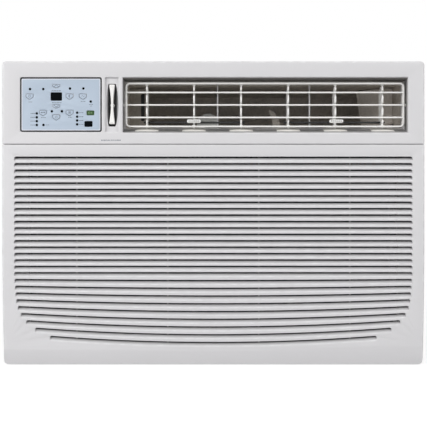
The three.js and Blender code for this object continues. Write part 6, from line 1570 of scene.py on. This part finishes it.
def compressor():
    """A welded shell on three arms, with bands, a strap to the accumulator, and nuts on studs."""
    (_, _, foot), (_, _, top) = span("compressor")
    cover = middle("terminal_cover")
    x, y = cover[0] + 12, cover[1]
    r = 58.8
    seam = foot + 150
    profile = [(0, foot + 3), (34, foot + 3), (47, foot + 8), (55, foot + 16), (r, foot + 27),
               (r, seam - 3.5), (60, seam - 2.5), (60, seam + 2.5), (r, seam + 3.5), (r, top - 36),
               (57.4, top - 25), (52, top - 15), (42, top - 7), (27, top - 2), (12, top), (0, top)]
    parts = [lathe("shell", "z", x, y, profile, 56)]
    reach = middle("compressor_foot_1")[0] - x
    arm = arc(reach, 0, 12.6, -90, 90, 10) + [(0, 12.6), (0, -12.6)]
    turned = (([(0, 3), (6.6, 3), (6.6, 3.9), (0, 3.9)], 24),  # washer, nut and stud, each with its sides
              ([(0, 3.8), (5.2, 3.8), (5.2, 8.4), (4.4, 9), (0, 9)], 6),
              ([(0, 8), (2.6, 8), (2.6, 13.5), (2.1, 14), (0, 14)], 12))
    bolts = []
    for turn in (0, 120, 240):
        spin = Matrix.Translation((x * MM, y * MM, 0)) @ Matrix.Rotation(math.radians(turn), 4, "Z")
        parts.append(loft("arm", [[(p, q, z) for p, q in arm] for z in (foot, foot + 3)]))
        parts[-1].data.transform(spin)
        for shape, sides in turned:
            bolts.append(lathe("bolt", "z", reach, 0, [(radius, foot + h) for radius, h in shape], sides))
            bolts[-1].data.transform(spin)
    holder = span("accumulator")[0]
    z = holder[2] + 80
    parts.append(block("strap", holder[0] + 54, x - 40, y - 10, y + 10, z, z + 3))
    for z in (seam + 30, seam - 60):
        band = [(r - 1, z - 3), (r + 0.5, z - 2.6), (r + 0.5, z + 2.6), (r - 1, z + 3)]
        parts.append(lathe("band", "z", x, y, band, 56))
    assembled("compressor", parts, 30)
    extra(joined("compressor_bolts", *bolts), BODY_OF["compressor"], "steel", SCREW_METAL, 30)


compressor()


def accumulator():
    """A necked vessel and the pipe that bends from its foot."""
    (x0, y0, z0), (x1, y1, z1) = span("accumulator")
    y = (y0 + y1) / 2
    r = (y1 - y0) / 2
    x = x0 + r
    foot, bend = z1 - 170, 12
    profile = [(0, foot), (8, foot + 1), (16, foot + 6), (22, foot + 13), (r, foot + 24),
               (r, foot + 120), (r - 0.8, foot + 122), (r - 0.8, foot + 146), (22, z1 - 13),
               (16, z1 - 6), (8, z1 - 1), (0, z1)]
    body = lathe("vessel", "z", x, y, profile, 40)
    turns = [math.pi / 2 * k / 6 for k in range(1, 6)]
    path = [(x, y, foot + 4), (x, y, z0 + 17)]
    path += [(x + bend - bend * math.cos(t), y, z0 + 17 - bend * math.sin(t)) for t in turns]
    path += [(x + bend, y, z0 + 5), (x1, y, z0 + 5)]
    assembled("accumulator", [body, pipe("stub", path, 4.9, 14)], 40)


accumulator()


def fan_motor():
    """A turned motor with a bore for its shaft and short ribs round both end caps."""
    (x0, y0, _), (x1, y1, _) = span("fan_motor")
    x, _, z = middle("fan_motor")
    r = (x1 - x0) / 2
    inner = span("fan_shaft")[1][0] - FAN_X + 0.35
    front = [(inner, 0), (14, 0), (16, 1.5), (16, 8), (40, 10), (r - 8, 12), (r - 2, 17),
             (r - 1.2, 22), (r - 1.2, 36), (r, 37)]
    profile = [(radius, y0 + d) for radius, d in front]
    profile += [(radius, y1 - d) for radius, d in reversed(front)]
    rings = [cylinder("y", x, z, radius, along, along, 48)[0] for radius, along in profile]
    parts = [made("motor", *lofted(rings + rings[:1], False))]
    for k in range(16):
        turn = math.radians(22.5 * k + 11)
        place = Matrix.Translation(((x + 44 * math.cos(turn)) * MM, 0, (z + 44 * math.sin(turn)) * MM))
        for y in (y0 + 10.6, y1 - 13.2):
            parts.append(block("rib", -6.5, 6.5, y, y + 2.6, -1.6, 1.6))
            parts[-1].data.transform(place @ Matrix.Rotation(-turn, 4, "Y"))
    assembled("fan_motor", parts, 32)


fan_motor()


def run_capacitor():
    """A crimped can with its spade terminals."""
    (x0, _, z0), (x1, _, z1) = span("run_capacitor")
    x, y, _ = middle("run_capacitor")
    r = (x1 - x0) / 2
    profile = [(0, z0), (r - 1, z0), (r, z0 + 1), (r, z1 - 9), (r - 0.6, z1 - 8), (r - 0.6, z1 - 7),
               (r, z1 - 6), (r, z1 - 5), (r - 1.6, z1 - 4), (r - 2.4, z1 - 5.5), (0, z1 - 5.5)]
    parts = [lathe("can", "z", x, y, profile, 40)]
    for dx, dy in ((-9, 0), (-5, 0), (5, 0), (9, 0), (0, -8)):
        a, b = x + dx, y + dy
        parts.append(block("blade", a - 0.4, a + 0.4, b - 3.1, b + 3.1, z1 - 6, z1 - 0.2))
    assembled("run_capacitor", parts, 35)


run_capacitor()

for tube in ("suction_pipe", "liquid_pipe", "discharge_pipe"):
    refined(tube, 0, 75)
for pin in ("fan_shaft", "vent_rod", "vent_door_pin"):
    refined(pin, 0.25, 60)


def board_parts():
    """Relays, a transformer, capacitors and plugs on the control board."""
    x0, face, z0 = span("control_board")[0]
    dark, bright = [], []
    for dx, dz, wide, tall, deep in ((20, 20, 20, 16, 15), (46, 20, 20, 16, 15), (20, 44, 16, 12, 12),
                                     (96, 26, 30, 26, 22), (60, 74, 10, 26, 8), (110, 70, 26, 10, 9),
                                     (24, 74, 22, 8, 9)):
        x, z = x0 + dx, z0 + dz
        ring = rounded(x - wide / 2, x + wide / 2, z - tall / 2, z + tall / 2, 1, 3)
        dark.append(loft("part", along_y(ring, face - deep, face - 0.1)))
    for dx, dz, radius, deep in ((70, 48, 6, 20), (84, 52, 5, 14), (52, 52, 4, 12), (42, 60, 3, 8)):
        profile = [(0, face - 0.1), (radius, face - 0.1), (radius, face - deep + 1),
                   (radius - 0.8, face - deep), (0, face - deep)]
        bright.append(lathe("can", "y", x0 + dx, z0 + dz, profile, 20))
    extra(joined("board_blocks", *dark), BODY_OF["control_board"], "dark_plastic")
    extra(joined("board_cans", *bright), BODY_OF["control_board"], "aluminium")


board_parts()


def panel_edge():
    """The dark seal round the overlay, and the dark and pale lines printed along its edge."""
    seal = drawn("panel_seal", [grown(PANEL, -0.1, 3), grown(OVERLAY, 0.1, 2.4)], 1.6, 0.2, OVER_Y0 - 0.1)
    extra(seal, "chassis", "rubber")
    dark = [grown(OVERLAY, -g, 2.4 - g * 0.6, 5) for g in (0.1, 0.95)]
    pale = [grown(OVERLAY, -g, 2.2 - g * 0.4, 5) for g in (1.0, 2.2)]
    printed("panel_border", [dark], finish=LAMP_BLACK)
    printed("panel_pale_line", [pale], finish=PALE_LINE)


panel_edge()

# Plain dashes below the vent handle, where a caption stands.
CAPTION = (1.6, 1.4, 2.0, 1.6, 1.2, 1.8, 1.4, 0, 1.8, 1.4, 1.2, 0, 1.6, 2.0, 1.4, 1.8)
printed("vent_caption", dash_row(WELL_X - 16.6, 351.6, 1.2, CAPTION, 0.55), y=FACE + 0.05)

# -------------------- inside the outlet

DUCT_LOW = OPEN_Z0 + RISE + 0.4
CEILING = OPEN_Z1 - 0.05
CHEEK_Y = FACE + 122


def right_cheek(x1, high):
    """The duct's right end, which curves away and leans, with a round rim."""
    plan = [(x1 - 0.2, 0.0), (x1 - 7.6, 0.0), (x1 - 10.5, 1.4), (x1 - 16, 5), (x1 - 26, 13),
            (x1 - 38, 24), (x1 - 54, 42)]
    rings = []
    for i, (x, y) in enumerate(plan):
        before, after = plan[max(i - 1, 0)], plan[min(i + 1, len(plan) - 1)]
        dx, dy = after[0] - before[0], after[1] - before[1]
        length = math.hypot(dx, dy)
        back = (-dy / length * -2.4, dx / length * -2.4)
        lean = 11.0 * (max(0, i - 2) / (len(plan) - 3)) ** 2
        y += CHEEK_Y
        rings.append([(x + lean, y, DUCT_LOW), (x, y, high), (x + back[0], y + back[1], high),
                      (x + lean + back[0], y + back[1], DUCT_LOW)])
    rim = pipe("rim", rings[-1][:2], 1.5, 10)
    cheek = edge_marked(joined("outlet_cheek_right", loft("cheek", rings), rim))
    # Lighter than the duct foam: painted light on the right cheek.
    extra(cheek, "chassis", "duct_foam", FOAM_PAINTED_LIGHT, 40)


def outlet_lining():
    """A dark strip and a whiter flange under the outlet's ceiling, the duct's two end cheeks, and a dark
    plate behind the left cheek's slot; the strip and plate paint shade, the flange and right cheek are
    painted light, the left cheek painted shade.
    """
    x0, x1 = OUTLET[0] + 0.4, OUTLET[1] - 0.4
    shade_strip = rounded(FACE + 5, FACE + 42, CEILING - 1.2, CEILING, 0.4, 3)
    # The dark strip paints the shade under the outlet's lip.
    extra(loft("outlet_shade_strip", along_x(shade_strip, x0, x1)), "chassis", "foam", SHADE_STRIP)
    flange = along_x(rounded(FACE + 43.5, FACE + 45.5, CEILING - 3.8, CEILING, 0.5, 3), x0, x1)
    # The flange is whiter than the moulding: painted light on a part in shade.
    extra(edge_marked(loft("outlet_flange", flange)), "chassis", "front_moulding", MOULDING_PAINTED_LIGHT)
    slot_x = OUTLET[0] + 22
    loops = [rounded(x0, x0 + 30, DUCT_LOW, CEILING - 0.4, 1.0, 3),
             rounded(slot_x - 3.0, slot_x + 3.0, 394, 440, 2.0, 4)]
    left = drawn("outlet_cheek_left", loops, 3, 0.5, CHEEK_Y)
    # Darker than the duct foam: painted shade on the left cheek.
    extra(edge_marked(left), "chassis", "duct_foam", FOAM_PAINTED_SHADE)
    right_cheek(x1, CEILING - 0.4)
    backing = rounded(slot_x - 6, slot_x + 6, 390, 444, 3, 4)
    # A dark plate behind the slot in the left cheek: painted shade in the slot.
    extra(drawn("outlet_slot_shade_plate", [backing], 0.8, 0.2, CHEEK_Y + 3.4), "chassis", "dark_plastic")


outlet_lining()


def landings():
    """A low landing on the outlet's sloping floor under each vane, whiter than the moulding: painted
    light on the floor.
    """
    for k, name in enumerate(VANES, 1):
        rings = []
        for t in spread(16):
            swell = math.sqrt(max(0.0, 1 - t * t))
            section = [(FACE + depth, outlet_floor(depth) + 0.12 + swell * rise) for depth, rise in
                       ((14, 0.0), (15.5, 0.4), (17, 1.2), (20, 1.4), (26, 1.3), (32, 1.0))]
            section += [(FACE + depth, outlet_floor(depth) - 0.3) for depth in (32, 20, 14)]
            rings += along_x(section, middle(name)[0] + 18.5 * t)
        # Whiter than the moulding: painted light on the landings.
        extra(loft(f"outlet_landing_{k}", rings), "chassis", "front_moulding", MOULDING_PAINTED_LIGHT)


landings()


def duct_floor_forms():
    """A round boss and a leaning fin that stand on the duct's floor."""
    low = DUCT_LOW + 0.1
    arch = [(9.9, low), *arc(-8.8, 387, 18.5, 0, 180, 22), (-27.6, low)]
    boss = drawn("duct_boss", [arch], 5, 1.8, FACE + 110)
    leaning = [(99, low), (99.4, 386.5), (98.8, 397), (94.5, 404.7), (93, 411.4), (98.2, 410.9),
               (104.1, 405.5), (106.7, 399.6), (110, 396.2), (113.4, 386.5), (115, low)]
    fin = drawn("duct_fin", [leaning[::-1]], 2.4, 0.7, FACE + 110)
    extra(boss, "chassis", "duct_foam", BOSS_FOAM)
    # Darker than the duct foam: painted shade on the fin.
    extra(fin, "chassis", "duct_foam", FOAM_PAINTED_SHADE)


duct_floor_forms()


def well_pad():
    """A dark sheet on the floor of the finger well, round the rod, that paints the well's shade, and the
    well's sloping side walls in a grey that paints their shade.
    """
    half = HANDLE_HALF + 0.9
    loops = [bowed_well(7.8, 8.6, half, 4.9), arc(WELL_X, OPEN_Z, 2.8, 0, 345, 23)]
    pad = drawn("finger_well_shade_pad", loops, 0.4, 0.1, FACE + WELL_DEPTH + 0.05)
    # The dark pad paints the shade on the well's floor.
    extra(pad, "chassis", "dark_plastic", WELL_SHADE_PAD)
    ends = 0.84  # the walls' share of the well's height
    for name, side, bulge, width, depth in (("left", -1, 2.8, 1.3, 7.6), ("right", 1, 4.2, 3.5, 13.0)):
        back = FACE + depth
        rings = []
        for i in range(15):
            t = -ends + 2 * ends * i / 14
            outer = 5.6 + bulge * math.cos(math.pi / 2 * t) ** 0.8
            inner = outer - 0.3 - width * (1 - (t / ends) ** 2) ** 0.7
            outer, inner = WELL_X + side * outer, WELL_X + side * inner
            z = OPEN_Z + (half + 0.6) * t
            rings.append([(outer, FACE + 4.6, z), (inner, back, z), (inner, back + 0.8, z),
                          (outer, back + 0.8, z)])
        # The walls' grey paints their shade.
        extra(loft(f"finger_well_wall_{name}", rings), "chassis", "front_moulding", WALL_SHADE_GREY)


well_pad()

# -------------------- floor, light and camera

FLOOR_REACH = 30
FLOOR_LIFT = 0.6  # what the lit floor lacks of white


def seen_plainly(tree):
    """1 on rays from the camera, straight, mirrored or through glass."""
    path = tree.nodes.new("ShaderNodeLightPath").outputs
    return maths(tree, "MAXIMUM", path["Is Camera Ray"], path["Is Transmission Ray"],
                 path["Is Glossy Ray"])


def blend(tree, factor, a, b):
    """Mixes two shaders by a factor."""
    return add(tree, "ShaderNodeMixShader", (factor, a.outputs[0], b.outputs[0])).outputs[0]


def pale_floor():
    """Plain pale floor that takes the object's shadow and turns white far away, as the backdrop is."""
    r = FLOOR_REACH
    mesh = bpy.data.meshes.new("Floor")
    mesh.from_pydata([(-r, -r, 0), (r, -r, 0), (r, r, 0), (-r, r, 0)], [], [(0, 1, 2, 3)])
    material = bpy.data.materials.new("Pale floor")
    material.use_nodes = True
    tree = material.node_tree
    surface = tree.nodes["Principled BSDF"]
    look = {"Base Color": (0.6, 0.6, 0.6, 1), "Roughness": 0.9, "Specular IOR Level": 0.1}
    for key, value in look.items():
        surface.inputs[key].default_value = value
    length = add(tree, "ShaderNodeVectorMath", (object_place(tree),), operation="LENGTH")
    distance = length.outputs["Value"]
    seen = seen_plainly(tree)
    lift = add(tree, "ShaderNodeEmission", Strength=maths(tree, "MULTIPLY", seen, FLOOR_LIFT))
    near = add(tree, "ShaderNodeAddShader", (surface.outputs[0], lift.outputs[0]))
    far = add(tree, "ShaderNodeEmission", Strength=1.0)
    choice = blend(tree, maths(tree, "MULTIPLY", seen, ramped(tree, distance, 0.75, 1.6)), near, far)
    tree.links.new(choice, tree.nodes["Material Output"].inputs["Surface"])
    mesh.materials.append(material)
    floor = shown("Floor", mesh)


def studio():
    """Soft white light from all round, and a white backdrop."""
    world = bpy.data.worlds.new("Studio")
    bpy.context.scene.world = world
    world.use_nodes = True
    tree = world.node_tree
    tree.nodes.clear()
    ambient, white = [add(tree, "ShaderNodeBackground", Color=(1, 1, 1, 1), Strength=strength)
                      for strength in (0.36, 1.0)]
    choice = blend(tree, seen_plainly(tree), ambient, white)
    tree.links.new(choice, tree.nodes.new("ShaderNodeOutputWorld").inputs["Surface"])


def softbox(name, place, aim, width, height, power):
    light = bpy.data.lights.new(name, "AREA")
    light.shape = "RECTANGLE"
    light.size = width
    light.size_y = height
    light.energy = power
    item = shown(name, light)
    item.location = place
    item.rotation_euler = (Vector(aim) - Vector(place)).to_track_quat("-Z", "Y").to_euler()


def front_camera():
    """The camera looks level at the front, from far enough that the sides stay hidden."""
    distance, view_width, sensor = 1.4, 0.66624, 36.0
    camera = bpy.data.cameras.new("Camera")
    camera.sensor_width = sensor
    camera.lens = sensor * distance / view_width
    item = shown("Camera", camera)
    item.location = (0.0003, CAD_BOX[0][1] - distance, 0.2372)
    item.rotation_euler = (math.radians(90), 0, 0)
    bpy.context.scene.camera = item
    bpy.context.scene.view_settings.view_transform = "Standard"


pale_floor()
studio()
softbox("Overhead softbox", (0, -1.2, 2.2), (0, -0.2, 0.25), 2.6, 1.6, 6)
softbox("Left softbox", (-2.4, -2.5, 1.5), (0, -0.35, 0.32), 1.8, 1.1, 56)
softbox("Right softbox", (2.3, -2.7, 1.5), (0, -0.35, 0.32), 1.8, 1.1, 31)
softbox("Rear softbox", (0.6, 3.0, 1.8), (0, 0.3, 0.25), 2.2, 1.4, 22)
front_camera()
